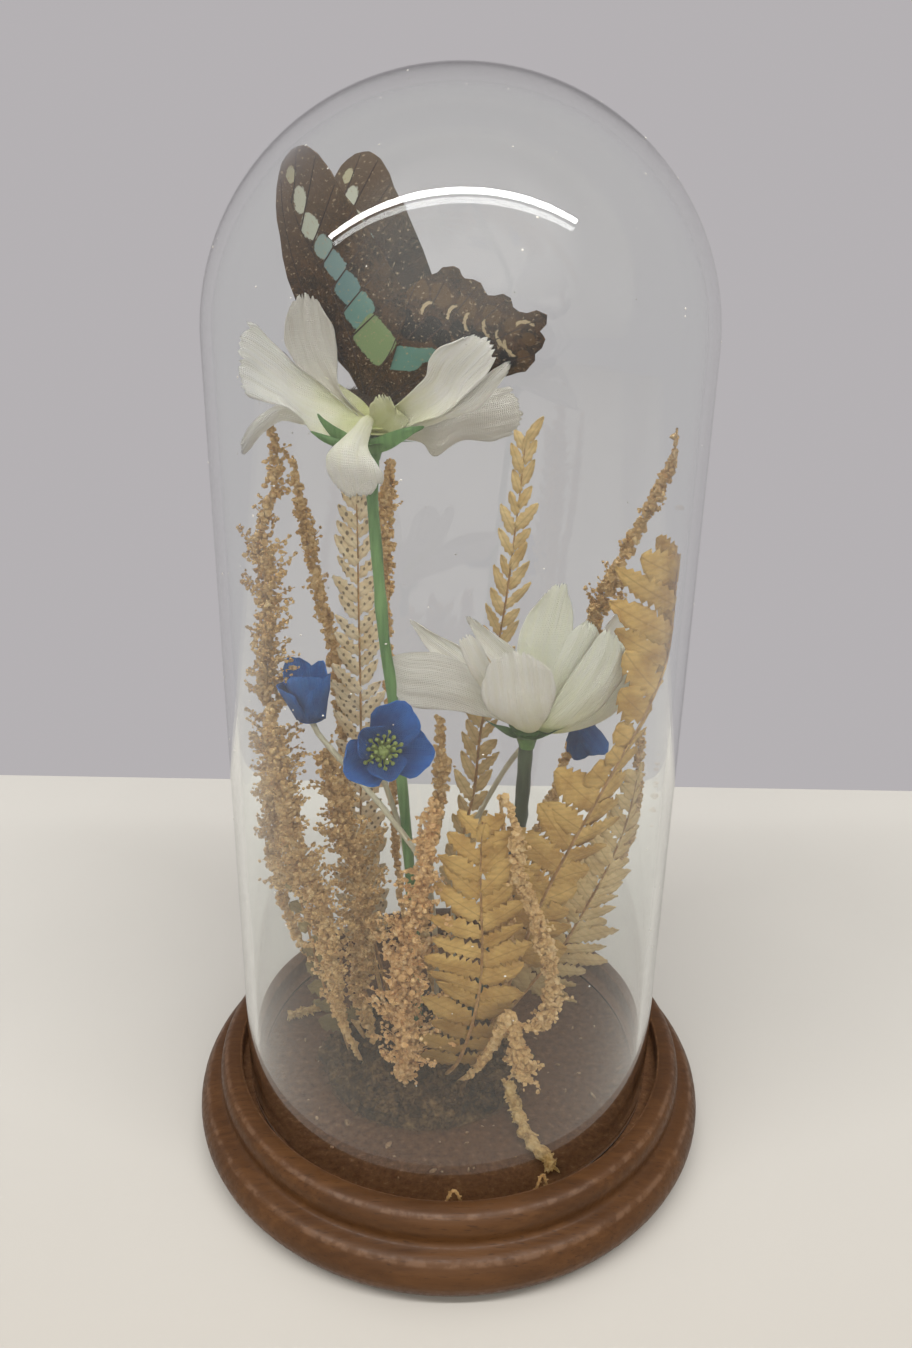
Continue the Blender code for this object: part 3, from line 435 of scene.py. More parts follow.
def finished(name, bm, finishes, slot, *nodes, sharp=40.0, thickness=0.0, centre=DOME_OFFSET):
    """Makes the mesh a piece of the scene, in place of the CAD nodes."""
    bmesh.ops.remove_doubles(bm, verts=bm.verts, dist=1e-4)
    bmesh.ops.recalc_face_normals(bm, faces=bm.faces)
    bmesh.ops.transform(bm, matrix=Matrix.Scale(MM, 4) @ Matrix.Translation(centre), verts=bm.verts)
    mesh = bpy.data.meshes.new(name)
    bm.to_mesh(mesh)
    bm.free()
    mesh.shade_smooth()
    mesh.set_sharp_from_angle(angle=math.radians(sharp))
    for finish in finishes:
        mesh.materials.append(finish)
    piece = bpy.data.objects.new(name, mesh)
    bpy.context.scene.collection.objects.link(piece)
    if thickness:
        solidify = piece.modifiers.new("Thickness", "SOLIDIFY")
        solidify.thickness = thickness * MM
        solidify.offset = 0.0
    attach(piece, "root")
    if nodes:
        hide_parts(*nodes)


def curve_through(points):
    """Fine places along a smooth curve through the points, with the length up to each."""
    knots = [Vector(p) for p in points]
    knots = [2 * knots[0] - knots[1], *knots, 2 * knots[-1] - knots[-2]]
    fine = []
    for a, b, c, d in zip(knots, knots[1:], knots[2:], knots[3:]):
        for k in range(STEPS_BETWEEN_KNOTS):
            t = k / STEPS_BETWEEN_KNOTS
            bend = (2 * a - 5 * b + 4 * c - d) * t**2 + (3 * b - a - 3 * c + d) * t**3
            fine.append(0.5 * (2 * b + (c - a) * t + bend))
    fine.append(Vector(points[-1]))
    lengths = [0.0]
    for a, b in zip(fine, fine[1:]):
        lengths.append(lengths[-1] + (b.to_3d() - a.to_3d()).length)
    return fine, lengths


def along(points, shares):
    """Places at the shares of the length of a smooth curve through the points."""
    fine, lengths = curve_through(points)
    places = []
    for share in shares:
        wanted = lengths[-1] * share
        i = next((j for j in range(1, len(fine)) if lengths[j] >= wanted), len(fine) - 1)
        step = (wanted - lengths[i - 1]) / max(1e-9, lengths[i] - lengths[i - 1])
        places.append(fine[i - 1].lerp(fine[i], min(1.0, max(0.0, step))))
    return places


def evenly(count):
    """Shares from 0 to 1 that are the same distance apart."""
    return [k / (count - 1) for k in range(count)]


def next_ring(bm, ring):
    """Extrudes a ring of vertices: the new ring, in the same order, and all that was made."""
    edges = [bm.edges.get(pair) for pair in zip(ring, ring[1:] + ring[:1])]
    made = bmesh.ops.extrude_edge_only(bm, edges=edges)["geom"]
    fresh = [item for item in made if isinstance(item, bmesh.types.BMVert)]
    return [min(fresh, key=lambda v: (v.co - old.co).length_squared) for old in ring], made


def stalk(bm, places, radii, sides=8, look=0):
    """A round stalk through the places: one ring of edges extruded from place to place, closed at both ends."""
    places = [Vector(place) for place in places]
    ahead = (places[1] - places[0]).normalized()
    turn = Vector((0, 0, 1)).rotation_difference(ahead)
    start = Matrix.Translation(places[0]) @ turn.to_matrix().to_4x4()
    ring = bmesh.ops.create_circle(bm, cap_ends=True, segments=sides, radius=radii[0], matrix=start)["verts"]
    faces = set(ring[0].link_faces)
    for k in range(1, len(places)):
        beyond = places[min(k + 1, len(places) - 1)]
        new_ahead = (beyond - places[k - 1]).normalized()
        turn = ahead.rotation_difference(new_ahead) @ turn
        ahead = new_ahead
        ring, made = next_ring(bm, ring)
        for number, vertex in enumerate(ring):
            angle = math.tau * number / sides
            rim = Vector((-math.sin(angle), math.cos(angle), 0.0)) * radii[k]
            vertex.co = places[k] + turn @ rim
        faces.update(item for item in made if isinstance(item, bmesh.types.BMFace))
    faces.update(bmesh.ops.contextual_create(bm, geom=ring)["faces"])
    for face in faces:
        face.material_index = look


def sheet(bm, columns, rows, place, size_mm, look=0):
    """A sheet bent into shape: place turns (across -1 to 1, along 0 to 1) into a point, size_mm its true size."""
    layer = bm.loops.layers.uv.get("cloth") or bm.loops.layers.uv.new("cloth")
    made = bmesh.ops.create_grid(bm, x_segments=columns, y_segments=rows, size=1.0)["verts"]
    spots = {vertex: (vertex.co.x, (vertex.co.y + 1) / 2) for vertex in made}
    for face in {face for vertex in made for face in vertex.link_faces}:
        face.material_index = look
        for loop in face.loops:
            u, v = spots[loop.vert]
            wide, tall = size_mm(u, v)
            loop[layer].uv = (0.5 + wide / MAP_SIZE, tall / MAP_SIZE)
    for vertex, (u, v) in spots.items():
        vertex.co = place(u, v)


def between(table, share):
    """A value read off a list of (share, value) by straight lines."""
    for (a, low), (b, high) in zip(table, table[1:]):
        if share <= b:
            return low + (high - low) * (share - a) / (b - a)
    return table[-1][1]


def held_inside(place, margin):
    """The place, moved in towards the axis where it would touch the glass."""
    reach = INSIDE_RADIUS - margin
    if place.z > DOME_SPRING:
        drop = min(1.0, (place.z - DOME_SPRING) / (INSIDE_CROWN - margin))
        reach *= math.sqrt(max(0.0, 1 - drop**2))
    out = math.hypot(place.x, place.y)
    if out > reach:
        return Vector((place.x * reach / out, place.y * reach / out, place.z))
    return place


def pour(bm, part):
    """Adds a mesh to another and frees it; a large mesh is made quicker from such parts than piece by piece."""
    mesh = bpy.data.meshes.new("part")
    part.to_mesh(mesh)
    part.free()
    bm.from_mesh(mesh)
    bpy.data.meshes.remove(mesh)


def any_way(rng):
    """A way in any direction, of any length."""
    return Vector((rng.gauss(0, 1), rng.gauss(0, 1), rng.gauss(0, 1)))


def tumbled(rng):
    """The turn of something that lies any way up."""
    return Quaternion(any_way(rng).normalized(), rng.uniform(0, 6)).to_matrix().to_4x4()


def upright_to(way):
    """The turn that brings the upright direction to a way."""
    return Vector((0, 0, 1)).rotation_difference(Vector(way)).to_matrix().to_4x4()


# ---------------------------------------------------------------- base, glass and moss


def make_base():
    foot = [(0, 0), (46.0, 0), (46.8, 0), (47.4, 0.15), (48.1, 0.7), (48.9, 1.5), (49.7, 2.5), (50.3, 3.6)]
    belly = [(50.55, 4.4), (BASE_WIDEST, 5.1), (50.55, 5.8), (50.3, 6.8), (49.9, 7.6), (49.5, 8.2), (49.1, 8.7)]
    groove = [(48.6, 9.1), (47.6, 9.4), (46.8, 9.55), (46.4, 9.8), (46.2, 10.2), (46.2, 10.7)]
    tier = [(46.3, 11.6), (46.3, 12.6), (46.1, 13.5), (45.8, 14.1), (45.3, 14.7), (44.7, 15.05), (44.0, 15.25)]
    rim = [(43.3, RIM_HEIGHT), (42.5, RIM_HEIGHT), (42.2, 15.15), (RECESS_RADIUS, 14.9)]
    recess = [(RECESS_RADIUS, height) for height in (14.6, FLOOR + 0.5, FLOOR + 0.25)]
    recess += [(RECESS_RADIUS - inward, FLOOR) for inward in (0.25, 0.5, 2.0, RECESS_RADIUS)]
    bm = turned(foot + belly + groove + tier + rim + recess)
    finished("turned_base", bm, [stained_wood()], "wood", "wood_base", sharp=50.0, centre=(0, 0, 0))


def make_dome():
    inner = DOME_RADIUS - DOME_WALL
    outside = arc((0, DOME_SPRING), (DOME_RADIUS, DOME_CROWN), 90, 0, 28)
    inside = arc((0, DOME_SPRING), (inner, DOME_CROWN - DOME_CROWN_WALL), 0, 90, 28)
    outside[0] = (0, outside[0][1])
    inside[-1] = (0, inside[-1][1])
    foot_top = DOME_FOOT + FOOT_ROUND
    foot = arc((DOME_RADIUS - DOME_WALL / 2, foot_top), (DOME_WALL / 2, FOOT_ROUND), 0, -180, 12)
    # The long wall is cut into short rows, so that it doesn't bend the view near its ends
    rows = [foot_top + rise for rise in (0.05, 0.3, 1, 3, 8, 20, 40, 60, 80, 100, 118, 130, 135, 137)]
    wall_out = [(DOME_RADIUS, height) for height in reversed(rows)]
    wall_in = [(inner, height) for height in rows]
    bm = turned(outside + wall_out + foot + wall_in + inside, 160)
    finished("blown_dome", bm, [clear_glass()], "glass", "glass_dome", sharp=80.0)


def mound_height(x, y):
    """How high the moss reaches above the table at (x, y)."""
    across = (x - MOUND_CENTRE[0]) / MOUND_REACH[0]
    deep = (y - MOUND_CENTRE[1]) / MOUND_REACH[1]
    inside = max(0.0, 1.0 - across**2 - deep**2)
    lumps = 0.7 * math.sin(0.55 * x) * math.cos(0.6 * y) * inside
    return FLOOR + 0.9 + MOUND_RISE * inside**0.6 + lumps


def rooted(x, y, *rest):
    """A route that starts in the moss at (x, y)."""
    return [(x, y, mound_height(x, y) - 0.6), *rest]


def on_mound(rng, reach):
    """A random place on the moss, out to a share of its reach."""
    turn, out = rng.uniform(0, math.tau), math.sqrt(rng.random()) * reach
    x = MOUND_CENTRE[0] + math.cos(turn) * out * MOUND_REACH[0]
    y = MOUND_CENTRE[1] + math.sin(turn) * out * MOUND_REACH[1]
    return x, y


def make_moss(moss):
    """A crust over the mound, lumps on it, and loose fibres."""
    rng = random.Random(11)
    bm = bmesh.new()
    bmesh.ops.create_circle(bm, cap_ends=False, segments=72, radius=1.0)
    ring = list(bm.verts)
    for share in (1.0, 0.97, 0.93, 0.88, 0.82, 0.75, 0.67, 0.58, 0.48, 0.38, 0.27, 0.15):
        ring = next_ring(bm, ring)[0]
        for vertex in ring:
            way = Vector((vertex.co.x, vertex.co.y)).normalized()
            vertex.co = (way.x * share, way.y * share, 1.0)
    bmesh.ops.contextual_create(bm, geom=ring)
    bmesh.ops.poke(bm, faces=[face for face in bm.faces if len(face.verts) > 4])
    for vertex in bm.verts:
        x = MOUND_CENTRE[0] + vertex.co.x * MOUND_REACH[0] * 0.99
        y = MOUND_CENTRE[1] + vertex.co.y * MOUND_REACH[1] * 0.99
        z = FLOOR + 0.2
        if vertex.co.z > 0.5:
            z = mound_height(x, y) - 0.5 + 2.2 * noise.noise(Vector((x, y, 0)) * 0.4)
            z = max(z, FLOOR + 0.25)
        vertex.co = (x, y, z)
    for _ in range(MOSS_LUMPS):
        x, y = on_mound(rng, 0.98)
        size = rng.uniform(0.9, 2.6)
        spin = Quaternion((rng.uniform(-1, 1), rng.uniform(-1, 1), rng.uniform(-1, 1)), rng.uniform(0, 3))
        shape = Matrix.Translation((x, y, mound_height(x, y) - 0.2)) @ spin.to_matrix().to_4x4()
        shape = shape @ Matrix.Diagonal((1.0, rng.uniform(0.6, 1.0), rng.uniform(0.5, 0.9), 1.0))
        lump = bmesh.ops.create_icosphere(bm, subdivisions=3, radius=size, matrix=shape)["verts"]
        for vertex in lump:
            vertex.co += (vertex.co - shape.translation) * 0.8 * noise.noise(vertex.co * 1.1)
            vertex.co.z = max(vertex.co.z, FLOOR + 0.1)
    finished("moss_clump", bm, [moss], "moss", "moss_mound", sharp=60.0)
    bm = bmesh.new()
    for _ in range(MOSS_FIBRES):
        x, y = on_mound(rng, 1.03)
        base = Vector((x, y, mound_height(x, y) - 0.3))
        lean = Vector((rng.uniform(-1, 1), rng.uniform(-1, 1), rng.uniform(0.1, 1.0))).normalized()
        side = Vector((rng.uniform(-1, 1), rng.uniform(-1, 1), rng.uniform(-0.3, 0.5)))
        length = rng.uniform(0.8, 2.6)
        fibre = [base, base + lean * length * 0.5, base + lean * length * 0.8 + side * length * 0.3]
        stalk(bm, [held_inside(place, 0.4) for place in fibre], [0.11, 0.09, 0.04], 3)
    finished("moss_fibres", bm, [moss], "moss", sharp=60.0)


# ---------------------------------------------------------------- flowers

# How a petal is cut and bent: its width along it, how far the tip's corners are cut back, and its bends across
ROUND_PETAL = dict(
    shape=((0.0, 0.36), (0.15, 0.6), (0.35, 0.86), (0.55, 1.0), (0.75, 1.0), (0.9, 0.86), (1.0, 0.62)),
    tip=0.16, cup=0.22, ruffle=0.5,
)
POINTED_PETAL = dict(
    shape=((0.0, 0.36), (0.2, 0.66), (0.45, 0.96), (0.65, 1.0), (0.82, 0.8), (1.0, 0.34)),
    tip=0.2, cup=0.2, ruffle=0.4,
)
SMALL_PETAL = dict(
    shape=((0.0, 0.5), (0.3, 0.84), (0.6, 1.0), (0.85, 0.9), (1.0, 0.6)), tip=0.14, cup=0.3, ruffle=0.25
)

UPPER_CENTRE = (-13.4, -6.0, 136.6)
UPPER_STEM = rooted(
    -6.0, -3.0, (-6.5, -8.0, 40.9), (-7.3, -9.0, 56.9), (-8.7, -9.0, 75.3), (-10.5, -9.0, 94.2),
    (-11.7, -9.0, 103.1), (-12.8, -8.0, 116.5), (-13.6, -7.0, 127.0), (-13.4, -6.1, 132.6)
)
LOWER_CENTRE = (12.9, -4.6, 86.5)
LOWER_STEM = rooted(
    3.0, -2.0, (7.5, -2.5, 34.0), (10.9, -3.0, 49.6), (12.5, -4.4, 69.1), (12.9, -4.6, 82.2)
)

# The petals behind the flowers and in the lower one's heart: heading, rise and curl in degrees, length and width
UPPER_BEHIND = [(95, -8, -14, 19.0, 12.0)]
LOWER_BEHIND = [(100, 16, 20, 12.0, 11.0)]
LOWER_HEART = [(232, 60, 16, 8.0, 6.0), (300, 62, 16, 9.0, 6.0)]

# Petals and sepals seen from the front: their lower or left edge, their other edge, and the tip
UPPER_SHAPES = {
    "big_left": (
        [(-14.0, -7.5, 138.0), (-17.5, -8.5, 136.1), (-20.0, -9.0, 136.1), (-22.3, -9.5, 136.9),
         (-23.9, -10.0, 139.2), (-26.2, -10.0, 140.9), (-28.3, -10.0, 141.2), (-30.5, -10.0, 141.8),
         (-32.4, -9.5, 142.1)],
        [(-14.1, -5.5, 140.4), (-17.1, -5.0, 142.8), (-20.9, -5.0, 144.9), (-24.7, -5.0, 146.1),
         (-26.7, -5.0, 147.6), (-29.0, -5.0, 150.0), (-30.8, -5.5, 152.1), (-31.8, -6.0, 152.6),
         (-32.5, -6.0, 152.8)],
        (-33.9, -8.0, 147.8),
    ),
    "upright": (
        [(-17.8, -6.0, 140.7), (-21.9, -6.0, 144.3), (-24.6, -6.2, 146.2), (-26.0, -6.4, 148.4),
         (-26.8, -6.5, 150.4), (-26.5, -6.5, 152.7), (-25.7, -6.5, 155.0)],
        [(-17.0, -6.2, 141.2), (-18.5, -6.2, 143.2), (-18.9, -6.2, 145.0), (-18.8, -6.4, 146.9),
         (-18.8, -6.5, 149.6), (-19.3, -6.5, 152.4), (-20.9, -6.5, 155.0)],
        (-23.3, -6.5, 157.0),
    ),
    "drooping_left": (
        [(-18.0, -5.0, 136.7), (-24.6, -3.0, 137.3), (-27.9, -2.0, 137.7), (-30.0, -1.0, 136.9),
         (-32.7, -0.5, 134.9), (-34.7, 0.0, 132.7), (-35.6, 0.0, 131.9)],
        [(-18.0, -4.0, 138.9), (-24.5, -3.0, 140.2), (-27.5, -2.0, 140.7), (-30.2, -1.0, 139.6),
         (-32.8, -0.5, 137.9), (-34.7, 0.0, 136.1), (-36.1, 0.0, 134.0)],
        (-36.2, 0.0, 132.2),
    ),
    "front": (
        [(-15.0, -8.0, 138.7), (-16.3, -11.0, 137.5), (-17.5, -13.5, 136.5), (-18.9, -15.0, 135.5),
         (-19.6, -15.5, 134.1), (-19.7, -15.0, 132.2), (-19.0, -14.0, 130.1)],
        [(-13.1, -8.0, 138.7), (-13.4, -11.0, 137.3), (-13.6, -13.5, 135.8), (-13.1, -15.0, 134.6),
         (-12.0, -15.5, 133.2), (-11.1, -15.0, 131.6), (-11.5, -14.0, 129.9)],
        (-15.3, -13.0, 127.9),
    ),
    "small_front": (
        [(-14.2, -7.0, 137.7), (-13.9, -8.0, 139.4), (-13.6, -9.0, 141.1), (-13.0, -9.5, 142.0)],
        [(-11.0, -7.5, 136.9), (-8.8, -9.0, 137.6), (-7.9, -10.0, 138.9), (-9.6, -10.5, 140.7)],
        (-11.2, -11.0, 142.8),
    ),
    "right_tall": (
        [(-12.3, -7.0, 138.6), (-10.0, -9.0, 140.8), (-8.4, -10.5, 142.2), (-6.6, -12.0, 144.0),
         (-5.1, -13.5, 145.8), (-4.5, -15.0, 148.3), (-2.8, -16.5, 150.1), (-0.3, -18.0, 151.1)],
        [(-9.4, -8.5, 137.2), (-6.7, -10.0, 138.5), (-4.4, -12.0, 139.5), (-2.4, -13.5, 140.4),
         (-0.5, -15.0, 142.1), (1.6, -17.0, 144.3), (3.7, -18.5, 146.4), (4.9, -19.5, 148.5)],
        (3.3, -19.5, 151.7),
    ),
    "right_strip": (
        [(-9.1, -8.0, 138.0), (-4.4, -10.5, 139.8), (-2.4, -12.0, 140.8), (-0.2, -13.5, 142.5), (2.2, -15.0, 144.5),
         (4.6, -17.0, 147.1), (6.1, -18.0, 148.0)],
        [(-8.5, -8.0, 137.0), (-4.1, -10.0, 138.5), (-2.1, -11.5, 139.5), (0.1, -13.0, 140.3), (2.8, -14.5, 141.6),
         (5.1, -16.5, 144.3), (6.8, -18.0, 146.9)],
        (7.1, -18.5, 148.3),
    ),
    "right_low": (
        [(-10.0, -6.0, 137.9), (-5.4, -4.0, 139.6), (-2.7, -3.0, 140.6), (2.5, -1.0, 142.0), (5.8, 0.0, 143.1),
         (8.0, 1.0, 143.4)],
        [(-10.0, -6.0, 135.8), (-5.8, -4.0, 134.9), (-3.9, -3.0, 132.6), (0.2, -1.0, 134.9), (5.4, 0.0, 134.7),
         (8.9, 1.0, 135.6)],
        (10.2, 1.0, 139.6),
    ),
}
LOWER_SHAPES = {
    "left_wide": (
        [(12.3, -7.0, 86.5), (7.1, -8.5, 89.3), (4.8, -9.0, 89.9), (-0.2, -9.5, 91.1), (-5.1, -10.0, 91.6),
         (-8.3, -10.0, 92.1), (-10.5, -9.5, 94.8)],
        [(11.6, -5.0, 88.3), (7.1, -5.0, 92.9), (3.5, -5.5, 96.8), (0.0, -6.0, 99.1), (-4.2, -6.0, 100.3),
         (-8.5, -6.5, 100.2), (-10.8, -7.0, 99.6)],
        (-12.1, -8.5, 97.6),
    ),
    "left_spike": (
        [(11.0, -2.0, 86.0), (6.4, -1.0, 89.4), (1.9, 0.0, 92.0), (-1.0, 1.0, 94.6), (-3.2, 2.0, 96.1),
         (-5.2, 2.5, 98.3), (-7.0, 3.0, 101.2)],
        [(11.9, -1.0, 87.2), (9.1, 1.0, 90.6), (6.4, 2.0, 93.6), (3.6, 3.0, 96.4), (0.9, 3.0, 98.3),
         (-2.2, 3.5, 99.6), (-5.6, 3.5, 101.4)],
        (-8.1, 3.5, 103.0),
    ),
    "back_left": (
        [(11.1, 0.0, 85.2), (9.8, 2.0, 89.2), (7.7, 4.0, 92.9), (6.2, 5.0, 95.4), (4.5, 6.0, 97.3),
         (3.2, 6.5, 99.8), (2.3, 7.0, 101.5)],
        [(13.4, 0.0, 86.8), (13.2, 2.0, 90.2), (12.4, 4.0, 93.7), (11.1, 5.0, 96.8), (9.1, 6.0, 98.3),
         (6.1, 6.5, 100.2), (3.7, 7.0, 101.9)],
        (1.9, 7.0, 102.7),
    ),
    "fold_left": (
        [(10.6, -8.0, 88.3), (7.8, -9.0, 91.6), (5.4, -10.0, 94.5), (3.2, -11.0, 97.8), (1.7, -12.0, 101.1),
         (0.8, -12.5, 103.7), (0.6, -12.5, 104.9)],
        [(11.5, -7.0, 89.2), (9.4, -8.0, 92.3), (7.9, -9.0, 95.5), (6.6, -10.0, 98.5), (5.3, -11.0, 101.4),
         (4.1, -12.0, 104.0), (2.7, -12.5, 105.5)],
        (1.6, -13.0, 106.0),
    ),
    "front": (
        [(11.1, -9.0, 87.8), (7.8, -11.0, 90.4), (5.9, -12.5, 92.5), (4.6, -14.0, 95.3), (4.5, -15.0, 98.3),
         (5.2, -16.0, 101.1), (6.2, -16.5, 103.0)],
        [(14.5, -9.0, 87.8), (15.7, -11.0, 90.8), (16.3, -12.5, 93.4), (16.5, -14.0, 96.7), (15.9, -15.0, 99.7),
         (14.6, -16.0, 102.0), (12.9, -16.5, 103.5)],
        (9.3, -17.0, 104.8),
    ),
    "tall": (
        [(11.8, -2.0, 87.0), (11.6, -1.0, 90.5), (11.1, 0.0, 93.9), (11.0, 1.0, 97.3), (11.3, 2.0, 100.3),
         (12.5, 3.0, 103.9), (14.7, 3.5, 106.8)],
        [(16.8, -2.0, 87.1), (17.6, -1.0, 90.6), (18.8, 0.0, 94.0), (19.7, 1.0, 98.0), (20.7, 2.0, 101.4),
         (20.9, 3.0, 104.7), (19.9, 3.5, 108.0)],
        (18.4, 4.0, 110.0),
    ),
    "inner_right": (
        [(14.3, -6.0, 88.2), (15.0, -7.0, 92.0), (15.6, -8.0, 95.8), (16.5, -9.0, 99.8), (17.9, -9.5, 103.3),
         (19.5, -10.0, 106.2), (20.9, -10.0, 107.2)],
        [(17.5, -6.0, 88.3), (19.1, -7.0, 91.7), (20.3, -8.0, 95.1), (21.7, -9.0, 98.8), (22.9, -9.5, 102.2),
         (23.7, -10.0, 105.0), (22.9, -10.0, 106.7)],
        (21.6, -10.5, 107.9),
    ),
    "right_front": (
        [(15.4, -7.5, 88.1), (16.8, -9.0, 92.3), (18.2, -10.0, 96.1), (19.9, -11.0, 100.0), (21.8, -11.5, 103.2),
         (23.1, -12.0, 105.5), (24.1, -12.0, 106.6)],
        [(17.8, -7.0, 86.8), (21.0, -8.5, 88.7), (24.0, -9.5, 91.4), (26.3, -10.5, 94.8), (27.8, -11.0, 98.2),
         (28.3, -11.5, 102.0), (27.0, -12.0, 104.9)],
        (25.3, -12.5, 106.8),
    ),
    "far_right": (
        [(16.1, -4.0, 87.4), (19.7, -2.0, 90.1), (22.4, 0.0, 93.1), (24.3, 1.5, 96.8), (25.8, 2.5, 99.9),
         (27.0, 3.5, 102.6), (28.7, 4.0, 104.7)],
        [(17.4, -4.0, 86.6), (22.5, -2.0, 87.8), (26.5, 0.0, 90.5), (29.8, 1.5, 94.2), (32.2, 2.5, 97.7),
         (34.1, 3.5, 100.1), (34.7, 4.0, 102.4)],
        (31.6, 4.5, 104.8),
    ),
    "low_right": (
        [(16.5, -6.0, 86.9), (20.2, -6.0, 88.7), (23.6, -6.0, 90.7), (26.1, -6.0, 92.8), (27.9, -6.0, 95.4),
         (28.6, -6.0, 97.8)],
        [(17.3, -6.0, 85.6), (21.2, -6.5, 86.5), (24.9, -7.0, 88.1), (27.5, -7.0, 90.0), (29.4, -7.0, 92.5),
         (30.2, -7.0, 95.1)],
        (30.5, -7.0, 97.5),
    ),
}
SEPAL_SHAPES = {
    "left_long": (
        [(-17.5, -8.5, 134.7), (-19.1, -9.5, 135.9), (-20.3, -10.3, 137.4), (-21.1, -10.6, 138.7)],
        [(-16.1, -8.5, 136.3), (-17.8, -9.5, 137.3), (-19.4, -10.3, 138.4), (-20.7, -10.6, 139.3)],
        (-21.4, -10.8, 139.9),
    ),
    "left_low": (
        [(-16.6, -8.5, 133.8), (-18.8, -9.5, 134.6), (-20.7, -10.3, 135.7), (-21.9, -10.8, 136.7)],
        [(-16.5, -8.5, 135.5), (-18.3, -9.5, 136.1), (-20.0, -10.3, 136.5), (-21.5, -10.8, 137.1)],
        (-22.5, -11.0, 137.3),
    ),
    "right_wide": (
        [(-14.4, -8.5, 135.7), (-11.6, -9.6, 136.8), (-9.1, -10.8, 137.8), (-6.8, -11.8, 138.4)],
        [(-13.8, -8.5, 133.7), (-10.9, -9.6, 134.4), (-8.5, -10.8, 136.0), (-6.5, -11.8, 137.5)],
        (-5.1, -12.5, 138.5),
    ),
}
# Petals that the photo shows in shade (1) or yellower, with light behind them (2)
PETAL_LOOKS = {
    "upright": 1, "right_low": 1, "left_wide": 1, "tall": 2, "inner_right": 2, "right_front": 2, "low_right": 2,
}
# How far each petal is hollowed (+) or arched (-) towards the viewer, and which flower layer it is on
UPPER_LAYERS = {
    "outer": {"front": -1.6, "drooping_left": -0.5, "right_strip": -0.5, "right_low": -1.2},
    "inner": {"big_left": 1.6, "upright": 1.2, "small_front": 0.6, "right_tall": 1.4},
}
LOWER_LAYERS = {
    "outer": {"left_wide": -1.2, "front": -1.3, "low_right": -0.6, "far_right": 0.6},
    "middle": {"left_spike": 0.6, "back_left": 0.8, "fold_left": -0.7, "inner_right": -0.8, "right_front": -1.0},
    "inner": {"tall": 1.4},
}


def shaped_petal(bm, centre, edges, hollow, seed, ragged=1.2, columns=26, rows=32, rib=0.075, foot=0.22, look=0):
    """A petal stretched between its two side edges, which meet at the flower's centre, with a torn tip."""
    left, right, tip = edges
    rng = random.Random(seed)
    centre = Vector(centre)
    spread = (Vector(left[0]) - Vector(right[0])) * foot
    left = along([centre + spread, *left], evenly(EDGE_STEPS + 1))
    right = along([centre - spread, *right], evenly(EDGE_STEPS + 1))
    push = Vector(tip) - (left[-1] + right[-1]) / 2
    torn = [ragged * rng.random() ** 2 for _ in range(columns + 1)]
    phase = rng.uniform(0, 6)
    length = sum(((b - a).length for a, b in zip(left, left[1:])), 0.0)

    def place(u, v):
        nick = 0.06 * v * noise.noise(Vector((9 * v, seed, 3 * (u > 0)))) if abs(u) > 0.95 else 0.0
        step = min(EDGE_STEPS - 0.001, v * EDGE_STEPS)
        k = int(step)
        low = left[k].lerp(left[k + 1], step - k)
        high = right[k].lerp(right[k + 1], step - k)
        after, before = min(k + 2, EDGE_STEPS), max(k - 1, 0)
        ahead = (left[after] + right[after]) - (left[before] + right[before])
        back = (high - low).cross(ahead).normalized()
        if back.y < 0:
            back.negate()
        across = u * (high - low).length / 2
        belly = hollow * (1 - u * u) * math.sin(math.pi * min(1.0, 0.9 * v))
        ribs = rib * math.sin(2.6 * across + phase + 1.5 * v) * min(1, 2 * v)
        crumple = 8 * rib * noise.noise(Vector((0.5 * across, 0.13 * v * length, 5.3 * seed))) * min(1, 1.5 * v)
        crease = 3 * rib * abs(noise.noise(Vector((0.9 * across, 0.3 * v * length, 2.1 * seed)))) * v
        edge = 0.3 * math.sin(9 * v + phase + 2 * u) * abs(u) ** 3 * v
        end = push * ((1 - abs(u) ** 2.4) * v**7)
        tear = ahead.normalized() * (-torn[round((u + 1) * columns / 2)] * v**9)
        flat = low.lerp(high, (u * (1 - nick) + 1) / 2)
        return held_inside(flat + back * (belly + ribs + crumple + crease + edge) + end + tear, 0.3)

    def size(u, v):
        k = min(EDGE_STEPS, int(v * EDGE_STEPS))
        return u * (right[k] - left[k]).length / 2, v * length

    sheet(bm, columns, rows, place, size, look)


def flower_frame(centre, facing):
    """From a flower's own space, where it faces up, to the dome's."""
    return Matrix.Translation(Vector(centre)) @ upright_to(facing)


def petal_bend(heading, rise, curl, length, start):
    """The middle line of a petal, as (place, the way its face looks) at each step, and the way across it."""
    out = Vector((math.cos(math.radians(heading)), math.sin(math.radians(heading)), 0))
    up = Vector((0, 0, 1))
    middle = out * start
    line = []
    for k in range(LINE_STEPS + 1):
        angle = math.radians(rise + curl * k / LINE_STEPS)
        line.append((middle.copy(), up * math.cos(angle) - out * math.sin(angle)))
        middle += (out * math.cos(angle) + up * math.sin(angle)) * (length / LINE_STEPS)
    return line, Vector((-out.y, out.x, 0))


